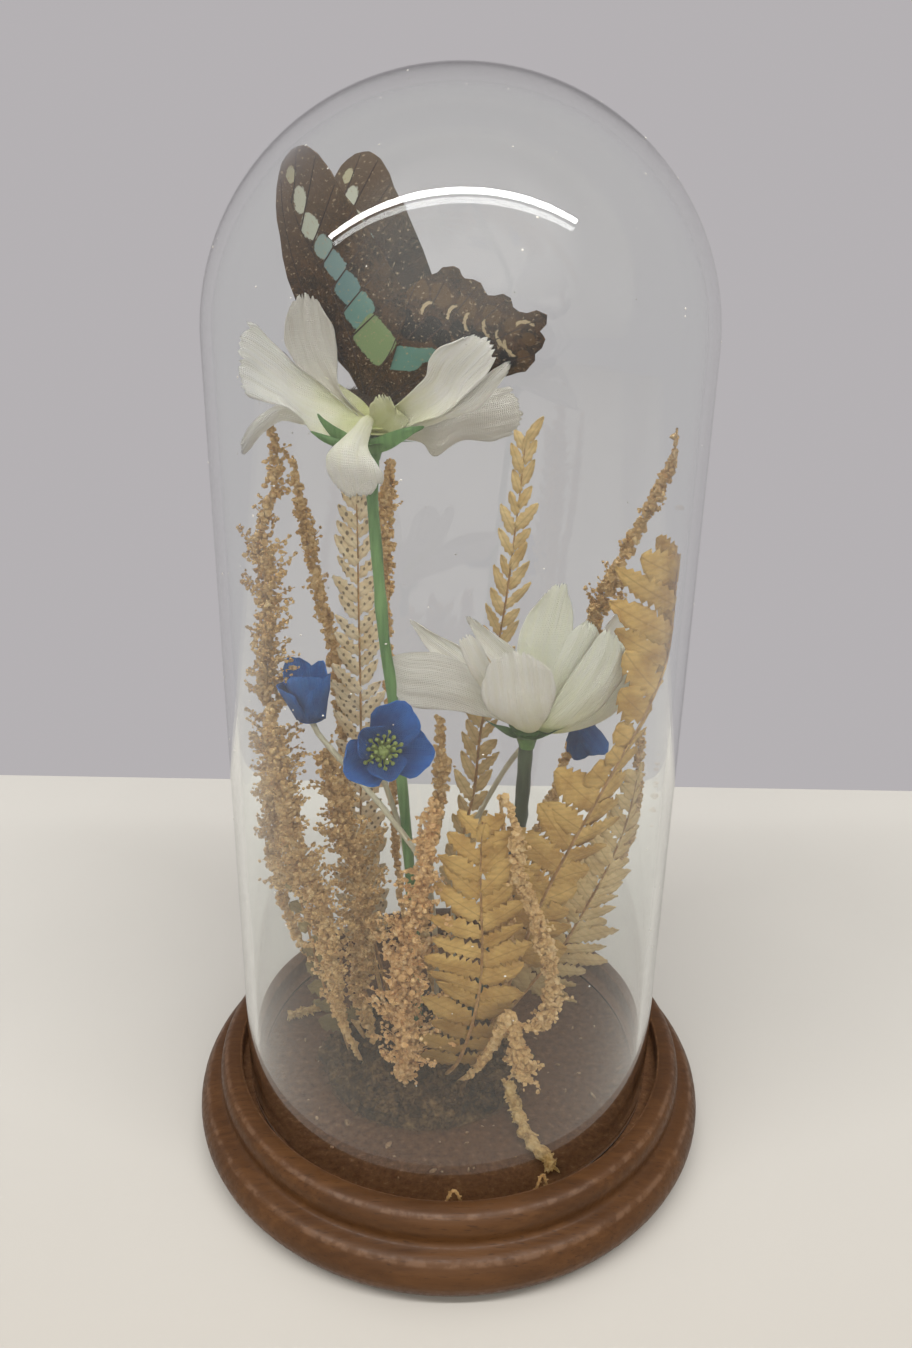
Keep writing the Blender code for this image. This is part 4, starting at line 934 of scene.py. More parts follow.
def petal(bm, to_place, data, start, height, seed, rows, columns, shape, tip, cup, ruffle):
    """One petal of the plain cut."""
    heading, rise, curl, length, width = data
    line, side = petal_bend(heading, rise, curl, length, start)
    rng = random.Random(seed)
    phase, rate = rng.uniform(0, 6), rng.uniform(5.0, 8.0)
    nick = [rng.uniform(-1, 1) for _ in range(columns + 1)]

    def place(u, v):
        cut = tip * abs(u) ** 1.6 + 0.018 * nick[round((u + 1) * columns / 2)]
        step = min(LINE_STEPS - 0.001, v * (1.0 - cut * v**2) * LINE_STEPS)
        k = int(step)
        middle = line[k][0].lerp(line[k + 1][0], step - k)
        half = width * between(shape, v) / 2
        bend = cup * half * (2 * u * u - 0.4)
        wave = ruffle * v * abs(u) * math.sin(rate * v * 2 + phase + 1.5 * u)
        crease = -0.05 * width * math.exp(-40 * u * u) * (1 - v)
        lift = line[k][1] * (bend + wave + crease) + Vector((0, 0, height))
        return held_inside(to_place @ (middle + side * half * u + lift), 0.3)

    def size(u, v):
        return u * width * between(shape, v) / 2, start + v * length

    sheet(bm, columns, rows, place, size)


def corolla(name, petals, cut, start, frame_of_flower, height, finishes, slot, cad_node, thickness=0.16, rows=16,
            columns=10, shaped=(), foot=0.22):
    """A disc with its petals; shaped holds the ones that are drawn by their edges."""
    bm = bmesh.new()
    disc = frame_of_flower @ Matrix.Translation((0, 0, height))
    layer = bm.loops.layers.uv.new("cloth")
    bmesh.ops.create_circle(bm, cap_ends=True, segments=24, radius=start * 0.8, matrix=disc)
    for face in bm.faces:
        for loop in face.loops:
            loop[layer].uv = (0.5, 0.02)
    for number, data in enumerate(petals):
        lift = height + 0.06 * number
        petal(bm, frame_of_flower, data, start * 0.7, lift, number * 7 + len(name), rows, columns, **cut)
    for number, (edges, hollow, look) in enumerate(shaped):
        heart = frame_of_flower @ Vector((0, 0, height + 0.05 * number))
        shaped_petal(bm, heart, edges, hollow, number + 20 + len(name), foot=foot, look=look)
    finished(name, bm, finishes, slot, cad_node, sharp=60.0, thickness=thickness)


def calyx(name, frame_of_flower, reach, depth, stem_radius, turn, finish, cad_node, rise, shaped=()):
    """A cup under the petals, with five pointed sepals, and the sepals that are drawn by their edges."""
    top = -0.75
    profile = [(0.0, top - depth), (stem_radius, top - depth), (stem_radius * 1.15, top - depth * 0.75),
               (2.1, top - depth * 0.3), (2.6, top - 0.1), (2.2, top), (0.0, top)]
    bm = bmesh.new()
    pour(bm, turned(profile, 24))
    for heading in (math.radians(turn + 360 / 5 * k) for k in range(5)):
        out = Vector((math.cos(heading), math.sin(heading), 0))
        side = Vector((-out.y, out.x, 0))

        def place(u, v, out=out, side=side):
            wide = 1.7 * (1 - v**1.5) * (0.8 + 0.6 * math.sin(math.pi * min(1, v * 1.6)))
            far = 1.6 + (reach - 1.6) * v
            lift = top - 0.75 * (1 - v) ** 2 * 1.6 - 0.12 + rise * v * v + 0.3 * abs(u) * (1 - v)
            return out * far + side * wide * u + Vector((0, 0, lift))

        sheet(bm, 4, 8, place, lambda u, v: (u * 1.5, v * 6))
    bmesh.ops.transform(bm, matrix=frame_of_flower, verts=bm.verts)
    foot = frame_of_flower @ Vector((0, 0, top))
    for number, edges in enumerate(shaped):
        shaped_petal(bm, foot, edges, -0.3, number, 0.1, 6, 12, 0.03)
    finished(name, bm, [finish], "green_plastic", cad_node, sharp=60.0)


def drawn(shapes, hollows):
    """The drawn petals of a layer: edges, how far each is hollowed, and which silk finish it gets: plain, painted in
    shade, or painted lighter as if lit from behind.
    """
    return [(shapes[name], hollow, PETAL_LOOKS.get(name, 0)) for name, hollow in hollows.items()]


def make_silk_flowers(white, white_lower, shaded, lit, green, dark_green):
    upper = flower_frame(UPPER_CENTRE, (0.03, -0.02, 1.0))
    for layer, behind, lift in (("outer", UPPER_BEHIND, 0.0), ("inner", [], 0.9)):
        corolla(f"upper_{layer}_petals", behind, ROUND_PETAL, 2.6, upper, lift, [white, shaded], "white_silk",
                f"upper_flower_{layer}_petals", shaped=drawn(UPPER_SHAPES, UPPER_LAYERS[layer]))
    calyx("upper_calyx", upper, 7.0, 3.4, 1.15, -16, green, "upper_flower_calyx", 0.1, SEPAL_SHAPES.values())
    lower = flower_frame(LOWER_CENTRE, (-0.04, -0.03, 1.0))
    layers = (("outer", LOWER_BEHIND, 3.0, 0.0), ("middle", [], 2.8, 1.0), ("inner", LOWER_HEART, 2.3, 2.0))
    for layer, behind, start, lift in layers:
        silks = [white_lower, shaded, lit]
        corolla(f"lower_{layer}_petals", behind, POINTED_PETAL, start, lower, lift, silks, "white_silk",
                f"lower_flower_{layer}_petals", shaped=drawn(LOWER_SHAPES, LOWER_LAYERS[layer]), foot=0.5)
    calyx("lower_calyx", lower, 7.8, 3.6, 1.35, 40, green, "lower_flower_calyx", 2.6)
    for name, route, radius, finish in (("upper", UPPER_STEM, 0.95, green), ("lower", LOWER_STEM, 1.3, dark_green)):
        bm = bmesh.new()
        # The stem swells a little where leaves were moulded
        swell = [0.05 * math.sin(k * 1.7) + (0.12 if k % 9 == 4 else 0.0) for k in range(40)]
        stalk(bm, along(route, evenly(40)), [radius * (1 + more) for more in swell], 14)
        finished(f"{name}_stem", bm, [finish], "green_plastic", f"{name}_flower_stem")


# Blue flowers: centre, the way it faces, turn about its axis, petals (rise, curl, length, width), stem route
# Blue flowers: centre, the way they face, turn, the rise, curl, length and width of each petal, the wire's route
BLUE_FLOWERS = {
    "front": (
        (-11.2, -20.6, 88.4), (0.14, -0.87, 0.47), 2,
        [(20, 6, 7.4, 8.0), (20, 8, 8.0, 8.2), (40, 16, 5.2, 6.4), (24, 10, 6.6, 8.4), (40, 14, 5.2, 6.4)],
        rooted(
            -9.0, -4.6, (-7.6, -5.2, 45.0), (-8.6, -5.6, 62.0), (-11.2, -8.0, 74.0), (-12.4, -12.6, 81.5),
            (-11.5, -18.6, 87.2),
        ),
    ),
    "left": (
        (-24.9, -5.4, 87.6), (-0.04, -0.06, 1.0), 54,
        [(84, -8, 9.6, 6.0), (80, -34, 10.4, 6.2), (70, -10, 7.6, 6.4), (88, -30, 10.6, 6.6), (80, -4, 8.6, 8.0)],
        rooted(
            -2.6, -9.6, (-2.4, -14.2, 44.0), (-4.4, -15.0, 62.5), (-10.6, -13.4, 72.6), (-17.9, -10.4, 80.2),
            (-23.4, -6.4, 84.6), (-24.8, -5.5, 86.8),
        ),
    ),
    "right": (
        (24.8, 9.0, 81.4), (0.16, 0.10, -0.98), 10,
        [(62, 16, 7.0, 6.6), (62, 16, 7.0, 6.6), (62, 16, 7.4, 7.0), (62, 16, 7.4, 7.0), (40, 10, 6.6, 6.0)],
        rooted(
            1.0, 5.4, (0.8, 6.0, 50.0), (4.4, 7.0, 60.0), (9.4, 7.6, 70.5), (14.0, 7.8, 77.6),
            (19.0, 8.4, 83.4), (23.4, 8.9, 84.0), (24.6, 9.0, 82.4),
        ),
    ),
}


def make_blue_flowers(blue, stamen, wire):
    for side, (centre, facing, turn, petals, route) in BLUE_FLOWERS.items():
        to_place = flower_frame(centre, facing)
        placed = [(turn + 360 / 5 * k, *data) for k, data in enumerate(petals)]
        start = 3.0 if side == "left" else 1.6
        corolla(f"blue_petals_{side}", placed, SMALL_PETAL, start, to_place, 0.0, [blue], "blue_silk",
                f"blue_flower_{side}_petals", thickness=0.14, rows=10, columns=8)
        rng = random.Random(side)
        bm = bmesh.new()
        wide = 3.3 if side == "front" else 1.8
        for k in range(STAMENS):
            heading, spread = k * 2.4, math.sqrt((k + 0.5) / STAMENS) * wide
            out = Vector((math.cos(heading), math.sin(heading), 0)) * spread
            tip = out + Vector((0, 0, 2.4 - 0.35 * spread + rng.uniform(-0.2, 0.2)))
            foot = out * 0.25 + Vector((0, 0, 0.2))
            places = [to_place @ foot, to_place @ (foot.lerp(tip, 0.6) + out * 0.1), to_place @ tip]
            stalk(bm, places, [0.15, 0.17, 0.2], 5)
            bmesh.ops.create_icosphere(bm, subdivisions=2, radius=0.36, matrix=Matrix.Translation(places[-1]))
        heart = to_place @ Matrix.Translation((0, 0, 1.4))
        bmesh.ops.create_icosphere(bm, subdivisions=3, radius=1.0, matrix=heart)
        finished(f"blue_stamens_{side}", bm, [stamen], "stamens", f"blue_flower_{side}_stamens")
        bm = bmesh.new()
        stalk(bm, along(route, evenly(36)), [0.5 + 0.03 * math.sin(k * 2.2) for k in range(36)], 10)
        finished(f"blue_wire_{side}", bm, [wire], "pale_wire", f"blue_flower_{side}_stem")


# ---------------------------------------------------------------- butterfly

PERCH = (-14.6, -1.9, 140.3)
# How far the body is tipped and turned, in radians
BODY_TIP = 0.305
BODY_TURN = -0.40
WING_THICKNESS = 0.22
# How far each pair of wings leans from upright, in degrees
NEAR_LEAN = 20.5
FAR_LEAN = 7.4
TUCKED_LEAN = 16.5
# Veins, each from the middle of the wing out to its edge
FORE_VEINS = [
    [(-1.0, 1.5), (-7.0, 8.6), (-13.0, 15.6), (-16.2, 24.0), (-16.9, 30.0)],
    [(-0.6, 2.0), (-2.4, 7.0), (-5.6, 13.6), (-9.7, 19.6), (-13.3, 23.8), (-15.0, 27.3)],
    [(-15.0, 27.3), (-14.5, 29.9), (-14.2, 34.8)], [(-13.3, 23.8), (-12.7, 26.5), (-11.0, 34.6)],
    [(-11.7, 21.6), (-10.5, 24.2), (-7.8, 31.8)], [(-9.7, 19.6), (-8.2, 22.1), (-4.6, 29.4)],
    [(-7.6, 16.8), (-5.9, 19.7), (-1.8, 26.6)], [(-5.6, 13.6), (-3.6, 16.8), (1.0, 23.8)],
    [(-3.6, 10.6), (-1.2, 13.9), (3.8, 20.4)], [(-0.2, 1.6), (1.2, 6.0), (3.6, 11.6), (4.7, 16.8)],
]
HIND_VEINS = [
    [(3.0, 13.8), (4.6, 17.0), (6.2, 22.6)], [(5.8, 13.8), (8.0, 17.6), (11.2, 26.0)],
    [(8.8, 14.4), (12.0, 19.0), (15.6, 25.4)], [(4.0, 3.4), (11.0, 12.4), (20.0, 24.8)],
    [(3.0, 2.0), (13.0, 12.6), (25.6, 24.4)], [(3.4, 1.6), (13.6, 10.4), (25.4, 18.6)],
]


def wing_turn(lean, offset):
    """From a wing's own plane to the dome's, leaning from upright by so many degrees towards the back."""
    body = Matrix.Translation(PERCH) @ (Matrix.Rotation(BODY_TURN, 4, "Z") @ Matrix.Rotation(BODY_TIP, 4, "Y"))
    return body @ Matrix.Rotation(math.radians(-lean), 4, "X") @ Matrix.Translation((0, offset, 0))


def make_wing(name, outline, veins, lean, offset, scales, vein_finish):
    """A thin wing cut to its outline, with raised veins on both faces."""
    bm = bmesh.new()
    layer = bm.loops.layers.uv.new("cloth")
    corners = [bm.verts.new((s, -WING_THICKNESS / 2, t)) for s, t in outline]
    made = bmesh.ops.extrude_face_region(bm, geom=[bm.faces.new(corners)])["geom"]
    far_side = [item for item in made if isinstance(item, bmesh.types.BMVert)]
    bmesh.ops.translate(bm, verts=far_side, vec=(0, WING_THICKNESS, 0))
    bmesh.ops.triangulate(bm, faces=bm.faces, quad_method="BEAUTY", ngon_method="BEAUTY")
    for face in bm.faces:
        for loop in face.loops:
            loop[layer].uv = (0.5 + loop.vert.co.x / MAP_SIZE, loop.vert.co.z / MAP_SIZE)
    for points in veins:
        for side in (-1, 1):
            places = along([(s, side * (WING_THICKNESS / 2), t) for s, t in points], evenly(10))
            stalk(bm, places, [0.13 - 0.007 * k for k in range(10)], 6, 1)
    bmesh.ops.transform(bm, matrix=wing_turn(lean, offset), verts=bm.verts)
    finished(name, bm, [scales, vein_finish], "butterfly_scales", sharp=30.0)


def make_body(fuzz):
    """Head, chest and tail in one, with eyes, feelers, legs and hair; it lies along x, head to the left."""
    trunk = [(-8.6, 0, -1.0, 0.5), (-7.9, 0, -0.9, 1.2), (-6.6, 0, -0.8, 1.25), (-5.4, 0, -0.7, 0.8),
             (-3.0, 0, -0.3, 1.8), (0, 0, 0, 2.0), (3.0, 0, 0.2, 1.5), (5.0, 0, 0.7, 1.3), (8.4, 0, 2.0, 1.6),
             (12.4, 0, 4.8, 1.2), (15.2, 0, 7.6, 0.4)]
    bm = bmesh.new()
    line = along(trunk, evenly(34))
    stalk(bm, [p.to_3d() for p in line], [p[3] * (1 + 0.05 * math.sin(2.4 * k)) for k, p in enumerate(line)], 16)
    for side in (-1, 1):
        eye = Matrix.Translation((-7.7, 0.95 * side, -0.7)) @ Matrix.Diagonal((0.8, 0.5, 0.9, 1))
        bmesh.ops.create_icosphere(bm, subdivisions=2, radius=0.9, matrix=eye)
        feeler = along([(-8.0, 0.5 * side, -0.8), (-11.5, 2.2 * side, 1.2), (-15.4, 3.6 * side, 3.4)], evenly(14))
        stalk(bm, feeler, [0.13] * 11 + [0.2, 0.28, 0.14], 6)
    for start, spread in ((-3.6, -5.0), (-1.2, -1.6), (1.4, 2.6)):
        for side, reach, drop in ((-1, 1.9, 1.5), (1, 3.6, 2.2)):
            knee = (spread, (reach - 0.6) * side, -1.2)
            leg = [(start, 0.6 * side, -1.0), knee, (spread, reach * side, -drop)]
            stalk(bm, along(leg, evenly(8)), [0.26, 0.26, 0.24, 0.2, 0.18, 0.16, 0.15, 0.12], 6)
    rng = random.Random(4)
    for _ in range(BODY_HAIRS):
        step = line[rng.randrange(4, 30)]
        angle = rng.uniform(0, math.tau)
        out = Vector((0, math.cos(angle), math.sin(angle)))
        root = step.to_3d() + out * step[3] * 0.95
        way = (out + Vector((rng.uniform(0.1, 1.1), 0, 0))).normalized()
        length = rng.uniform(0.5, 1.5)
        hair = Matrix.Translation(root + way * length / 2) @ upright_to(way)
        bmesh.ops.create_cone(bm, segments=3, cap_ends=True, radius1=0.06, radius2=0.01, depth=length, matrix=hair)
    bmesh.ops.transform(bm, matrix=wing_turn(0, 0), verts=bm.verts)
    finished("butterfly_body", bm, [fuzz], "butterfly_scales", "butterfly")


def make_butterfly():
    near_fore = wing_scales("near_forewing_scales", tint(24, 17, 10), tint(82, 58, 34), BAND_CELLS)
    near_hind = wing_scales("near_hindwing_scales", tint(24, 17, 10), tint(86, 60, 35), HIND_CELLS, True)
    far = wing_scales("far_wing_scales", tint(17, 11, 7), tint(56, 39, 25), BAND_CELLS)
    dark_vein = dry_matter("wing_veins", tint(46, 32, 26), tint(64, 46, 36), tint(92, 72, 56), 1.6, 0.6)
    make_wing("near_forewing", FOREWING, FORE_VEINS, -NEAR_LEAN, -0.15, near_fore, dark_vein)
    make_wing("near_hindwing", HINDWING, HIND_VEINS, -NEAR_LEAN, 0.15, near_hind, dark_vein)
    make_wing("far_forewing", FOREWING, FORE_VEINS, FAR_LEAN, 0.15, far, dark_vein)
    tucked = [(0.95 * s, 0.93 * t) for s, t in HINDWING]
    make_wing("far_hindwing", tucked, [], -TUCKED_LEAN, 0.3, near_hind, dark_vein)
    make_body(dry_matter("body_fuzz", tint(40, 30, 25), tint(70, 54, 42), tint(112, 92, 72), 1.4))


# ---------------------------------------------------------------- dried plants

# Fronds: the rib's route, the leaflet pairs on it, and how long and broad the leaflets are and how they lean
FRONDS = {
    "fern_centre": dict(
        points=[(-0.6, -14.0), (1.9, -17.6, 23.8), (4.0, -19.4, 32.7), (5.4, -20.0, 42.3), (5.6, -20.4, 51.3),
                (5.2, -20.6, 59.8), (4.9, -20.6, 67.9), (5.0, -20.6, 76.0)],
        pairs=14, left=((0, 8.0), (0.35, 11.5), (0.8, 10.5), (1, 6.0)), right=((0, 6.5), (0.5, 9.0), (0.85, 8.0),
                                                                               (1, 5.0)),
        lean=(4, 42), bare=0.12, wide=5.0, ragged=0.38, loose=13,
    ),
    "fern_right_broad": dict(
        points=[(6.5, -7.0), (11.4, -10.0, 36.0), (16.2, -12.4, 55.2), (21.4, -14.2, 69.8), (27.0, -15.0, 83.5),
                (31.2, -14.6, 93.2), (34.4, -12.4, 101.4), (35.4, -10.6, 110.0), (35.4, -9.6, 119.0)],
        pairs=18, left=((0, 11.5), (0.24, 13.0), (0.36, 11.5), (0.47, 10.0), (0.53, 4.6), (0.6, 2.8), (0.66, 3.8),
                        (0.72, 6.0),
              (0.77, 8.6), (0.83, 11.6), (0.94, 12.4), (1, 8.5)),
        right=((0, 8.0), (0.5, 9.0), (1, 7.0)), lean=(24, 14), bare=0.22, fold=110, wide=7.0, ragged=0.32, loose=14,
    ),
    "fern_right_thin": dict(
        points=[(8.0, -1.6), (13.6, -2.4, 25.5), (18.9, -3.2, 34.4), (22.4, -3.6, 40.7), (25.2, -4.0, 47.4),
                (28.0, -4.2, 54.2), (30.6, -3.8, 61.0), (32.6, -3.4, 68.0), (34.0, -2.6, 77.0)],
        pairs=19, left=((0, 10.0), (0.5, 10.0), (1, 3.0)), right=((0, 10.0), (0.5, 7.8), (1, 2.4)),
        lean=(20, 36), bare=0.2, fold=60, wide=3.6, ragged=0.36,
    ),
    "fern_left_spotted": dict(
        points=[(-11.0, 1.0), (-15.6, 2.6, 38.0), (-17.5, 3.6, 54.0), (-17.3, 4.0, 78.8), (-17.3, 4.5, 90.6),
                (-17.4, 5.0, 105.7), (-17.4, 5.4, 116.0), (-17.5, 5.6, 125.2)],
        pairs=27, left=((0, 6.8), (0.6, 7.0), (1, 4.6)), right=((0, 6.6), (0.6, 6.4), (1, 4.6)),
        lean=(36, 48), bare=0.16, wide=3.0, ragged=0.34,
    ),
    "leafy_frond": dict(
        points=[(-0.6, 7.6), (0.4, 8.6, 40.0), (2.4, 10.0, 56.0), (4.3, 11.2, 65.1), (5.3, 12.0, 77.7),
                (7.7, 13.0, 91.9), (9.4, 13.6, 103.6), (10.5, 14.0, 115.0), (11.5, 14.6, 125.9), (12.1, 15.0, 134.3)],
        pairs=25, left=((0, 5.6), (0.5, 6.0), (1, 4.6)), right=((0, 5.0), (0.5, 6.2), (1, 4.4)),
        lean=(48, 58), bare=0.2, wide=2.7, ragged=0.26,
    ),
    "dried_leaf_left": dict(
        points=[(-19.2, -7.0), (-21.6, -8.0, 26.0), (-23.8, -8.6, 33.4), (-25.4, -8.8, 41.2), (-27.2, -9.4, 51.8),
                (-28.4, -9.8, 59.8), (-29.6, -9.8, 68.0)],
        pairs=10, left=((0, 4.4), (1, 2.4)), right=((0, 6.0), (0.4, 4.6),
                                                    (1, 2.6)), lean=(30, 60), bare=0.12, wide=3.6,
        ragged=0.45, loose=14,
    ),
}
# A leaflet's width along it
PINNA = ((0.0, 0.55), (0.15, 0.9), (0.4, 1.0), (0.65, 0.85), (0.85, 0.55), (1.0, 0.12))


def pinna(bm, foot, way, ahead, back, length, width, seed, ragged=0.28):
    """One leaflet: toothed edges, a fold along its rib and a drooping end."""
    rng = random.Random(seed)
    droop, twist = rng.uniform(-0.08, 0.2), rng.uniform(-0.5, 0.5)
    teeth = max(3, round(length / 1.2))
    rows = teeth * 2
    across_way = (ahead - way * (0.85 * ahead.dot(way))).normalized()
    bites = {side: [ragged * rng.uniform(0.2, 1.5) for _ in range(rows + 1)] for side in (-1, 1)}

    def place(u, v):
        row = round(v * rows)
        notch = 1.0 - bites[1 if u > 0 else -1][row] * (row % 2) * (abs(u) > 0.9)
        half = width / 2 * between(PINNA, v) * notch
        across = across_way * math.cos(twist * v) + back * math.sin(twist * v)
        lift = back * (droop * length * v * v - 0.10 * half * abs(u) + 0.25 * math.sin(5 * v + seed + 2 * u) * v)
        bow = ahead * (0.12 * length * v * v)
        tip_back = way * (0.5 * (row % 2) * abs(u) * width / rows)
        return held_inside(foot + way * length * v + across * half * u + lift + bow + tip_back, 0.25)

    sheet(bm, 4, rows, place, lambda u, v: (u * width / 2 * between(PINNA, v), v * length))


def frond(name, finish, stem_finish, points, pairs, left, right, lean, bare, wide, fold=0.0, ragged=0.28, loose=8):
    """A rib with leaflets on both sides; left and right give their lengths, lean their rise, from low to high."""
    rng = random.Random(name)
    route = [rooted(*points[0][:2])[0], *points[1:]]
    places = along(route, [bare + (1 - bare) * k / pairs for k in range(pairs + 1)])
    bm = bmesh.new()
    for k in range(pairs):
        share = k / (pairs - 1)
        ahead = (places[k + 1] - places[k]).normalized()
        side = ahead.cross(FRONT).normalized()
        back = side.cross(ahead)
        for sign, lengths in ((-1, left), (1, right)):
            turned_back = math.radians(fold * share if sign > 0 else 0.0)
            flat = side * sign * math.cos(turned_back) - back * math.sin(turned_back)
            tilt = math.radians(lean[0] + (lean[1] - lean[0]) * share + rng.uniform(-loose, loose))
            way = flat * math.cos(tilt) + ahead * math.sin(tilt)
            foot = places[k].lerp(places[k + 1], 0.4 + 0.2 * sign + rng.uniform(-0.1, 0.1))
            foot += back * rng.uniform(-0.25, 0.25)
            grown = between(lengths, share) * rng.uniform(0.74, 1.12)
            broad = wide * (1.1 - 0.25 * share) * rng.uniform(0.8, 1.15)
            pinna(bm, foot, way, ahead, back, grown, broad, rng.randrange(999), ragged)
    tip_way = (places[-1] - places[-2]).normalized()
    side = tip_way.cross(FRONT).normalized()
    pinna(bm, places[-2], tip_way, side, side.cross(tip_way), (places[-1] - places[-2]).length, 0.6 * wide, 5)
    finished(name + "_leaves", bm, [finish], "dried_fern", name, sharp=60.0, thickness=0.14)
    bm = bmesh.new()
    stalk(bm, along(route, evenly(50)), [0.38 - 0.005 * k for k in range(50)], 7)
    finished(name + "_rib", bm, [stem_finish], "dried_fern")


# Seed heads: route with the radius of the clusters at each point, how many seeds, their size
SEED_HEADS = {
    "seed_spike_left_tall": (
        [(-16.4, -4.4), (-23.0, -3.4, 28.0, 0.8), (-29.1, -3.0, 39.0, 1.2), (-32.9, -3.0, 52.0, 1.5),
         (-33.6, -3.2, 64.0, 3.6), (-33.0, -3.8, 76.0, 4.2), (-33.2, -3.0, 90.0, 3.8), (-32.8, -3.6, 99.0, 4.0),
         (-32.6, -3.6, 106.0, 3.2), (-32.2, -3.0, 113.1, 4.8), (-32.6, -1.6, 119.0, 1.9),
         (-31.6, 0.0, 124.6, 1.8), (-29.9, 0.0, 128.6, 2.0), (-30.3, 0.0, 135.5, 1.0)],
        2700, 0.62),
    "seed_spike_left_thin": (
        [(-13.4, 4.6), (-18.0, 6.0, 45.0, 0.7), (-20.0, 7.2, 66.0, 1.0), (-21.8, 8.2, 86.0, 1.4),
         (-23.0, 8.6, 97.0, 1.6), (-25.4, 9.8, 106.0, 1.5), (-26.7, 10.0, 116.0, 1.5), (-28.4, 10.0, 123.3, 1.2),
         (-29.2, 10.0, 130.3, 0.7)],
        1150, 0.6),
    "seed_spike_behind_stem": (
        [(-7.2, 8.2), (-11.0, 10.4, 48.8, 0.8), (-12.0, 11.0, 75.7, 1.1), (-12.7, 11.0, 96.2, 1.1),
         (-13.0, 11.0, 105.0, 1.4), (-12.8, 11.0, 112.0, 1.9), (-12.9, 11.0, 119.0, 2.0), (-12.0, 11.0, 130.0, 1.0)],
        1150, 0.6),
    "seed_spike_right": (
        [(4.8, 5.6), (12.0, 11.0, 42.0, 0.7), (20.0, 15.6, 60.5, 1.0), (25.4, 17.6, 80.0, 1.1),
         (26.6, 17.0, 95.6, 1.8), (27.0, 14.6, 101.4, 2.4), (28.6, 12.0, 107.0, 2.4), (30.4, 9.2, 114.0, 1.4),
         (33.0, 7.4, 120.4, 1.5), (34.8, 4.6, 126.4, 1.4), (36.2, 2.0, 131.6, 1.0), (36.0, 0.4, 137.3, 0.5)],
        1300, 0.68),
    "seed_spike_middle": (
        [(-2.2, 2.0), (-5.0, 0.2, 40.0, 0.8), (-4.4, -1.6, 56.9, 1.1), (-2.8, -1.8, 66.0, 1.4),
         (-2.1, -2.0, 75.0, 1.5), (-2.5, -2.0, 86.7, 0.8)],
        650, 0.68),
    "seed_spike_far_right": (
        [(9.2, 3.4), (20.0, 6.0, 34.0, 0.7), (30.0, 6.0, 46.0, 0.8), (35.0, 4.6, 58.0, 1.0),
         (35.6, 4.0, 70.0, 1.4), (35.4, 3.6, 82.0, 0.9)],
        500, 0.66),
    "seed_plume_centre": (
        [(-8.6, -14.4), (-7.9, -16.0, 21.0, 4.2), (-7.8, -16.8, 25.0, 5.0), (-8.5, -17.4, 34.7, 4.6),
         (-8.6, -18.0, 42.8, 4.4),
         (-7.4, -18.5, 50.7, 4.2), (-5.6, -19.2, 58.3, 3.4), (-4.6, -20.0, 65.6, 2.6), (-3.8, -20.6, 72.7, 2.1),
         (-3.2, -21.0, 79.5, 1.2)],
        2500, 0.66),
    "seed_plume_left": (
        [(-14.0, -7.6), (-17.4, -8.0, 32.0, 2.6), (-16.4, -8.0, 39.0, 3.6), (-15.4, -8.0, 46.3, 4.2),
         (-16.4, -7.5, 54.7, 4.2), (-18.2, -7.0, 61.7, 4.4), (-19.6, -6.8, 68.7, 4.0), (-21.4, -7.0, 76.4, 2.8),
         (-23.2, -7.2, 82.0, 1.4)],
        2700, 0.62),
    "seed_plume_left_low": (
        [(-16.8, -9.8), (-20.4, -12.6, 30.0, 1.2), (-21.2, -14.0, 42.0, 3.0), (-23.0, -15.0, 54.5, 3.6),
         (-25.4, -15.2, 62.5, 3.4), (-27.2, -15.2, 71.0, 2.4), (-28.2, -15.2, 79.0, 2.9), (-29.4, -14.6, 86.0, 2.0),
         (-30.6, -14.0, 92.4, 1.0)],
        2500, 0.6),
    "seed_chain_hanging": (
        [(4.6, -11.6), (8.6, -14.4, 30.0, 0.5), (11.0, -15.4, 48.0, 0.5), (9.4, -16.6, 68.0, 0.5),
         (8.0, -18.0, 79.0, 0.5), (10.4, -21.6, 76.0, 1.1), (11.2, -22.8, 68.0, 1.5), (13.5, -23.6, 61.6, 1.2),
         (15.4, -24.2, 56.0, 1.8), (17.0, -24.4, 50.4, 1.4), (17.8, -24.4, 44.0, 1.7), (16.1, -24.4, 38.8, 1.5),
         (13.4, -24.4, 37.5, 0.8)],
        900, 0.62),
    "seed_tassel": (
        [(2.0, -14.8), (6.0, -19.6, 25.0, 0.6), (8.4, -22.4, 33.0, 1.0), (10.6, -23.2, 38.6, 1.4),
         (12.0, -24.4, 34.4, 1.3), (12.8, -25.4, 31.0, 2.4), (14.6, -26.0, 27.4, 1.5)],
        1100, 0.62),
}


def seed(bm, centre, size, rng):
    """A small crumpled seed husk: a lump, or a cup open to one side."""
    spin = tumbled(rng)
    shape = Matrix.Translation(held_inside(centre, size + 0.2)) @ spin
    grow = size * rng.uniform(0.6, 1.15)
    if rng.random() < 0.7:
        stretch = Matrix.Diagonal((1.0, rng.uniform(0.6, 1.0), rng.uniform(0.5, 0.9), 1.0))
        bmesh.ops.create_icosphere(bm, subdivisions=1, radius=grow, matrix=shape @ stretch)
    else:
        bmesh.ops.create_cone(
            bm, cap_ends=True, segments=5, radius1=0.25 * grow, radius2=1.15 * grow, depth=1.4 * grow, matrix=shape
        )


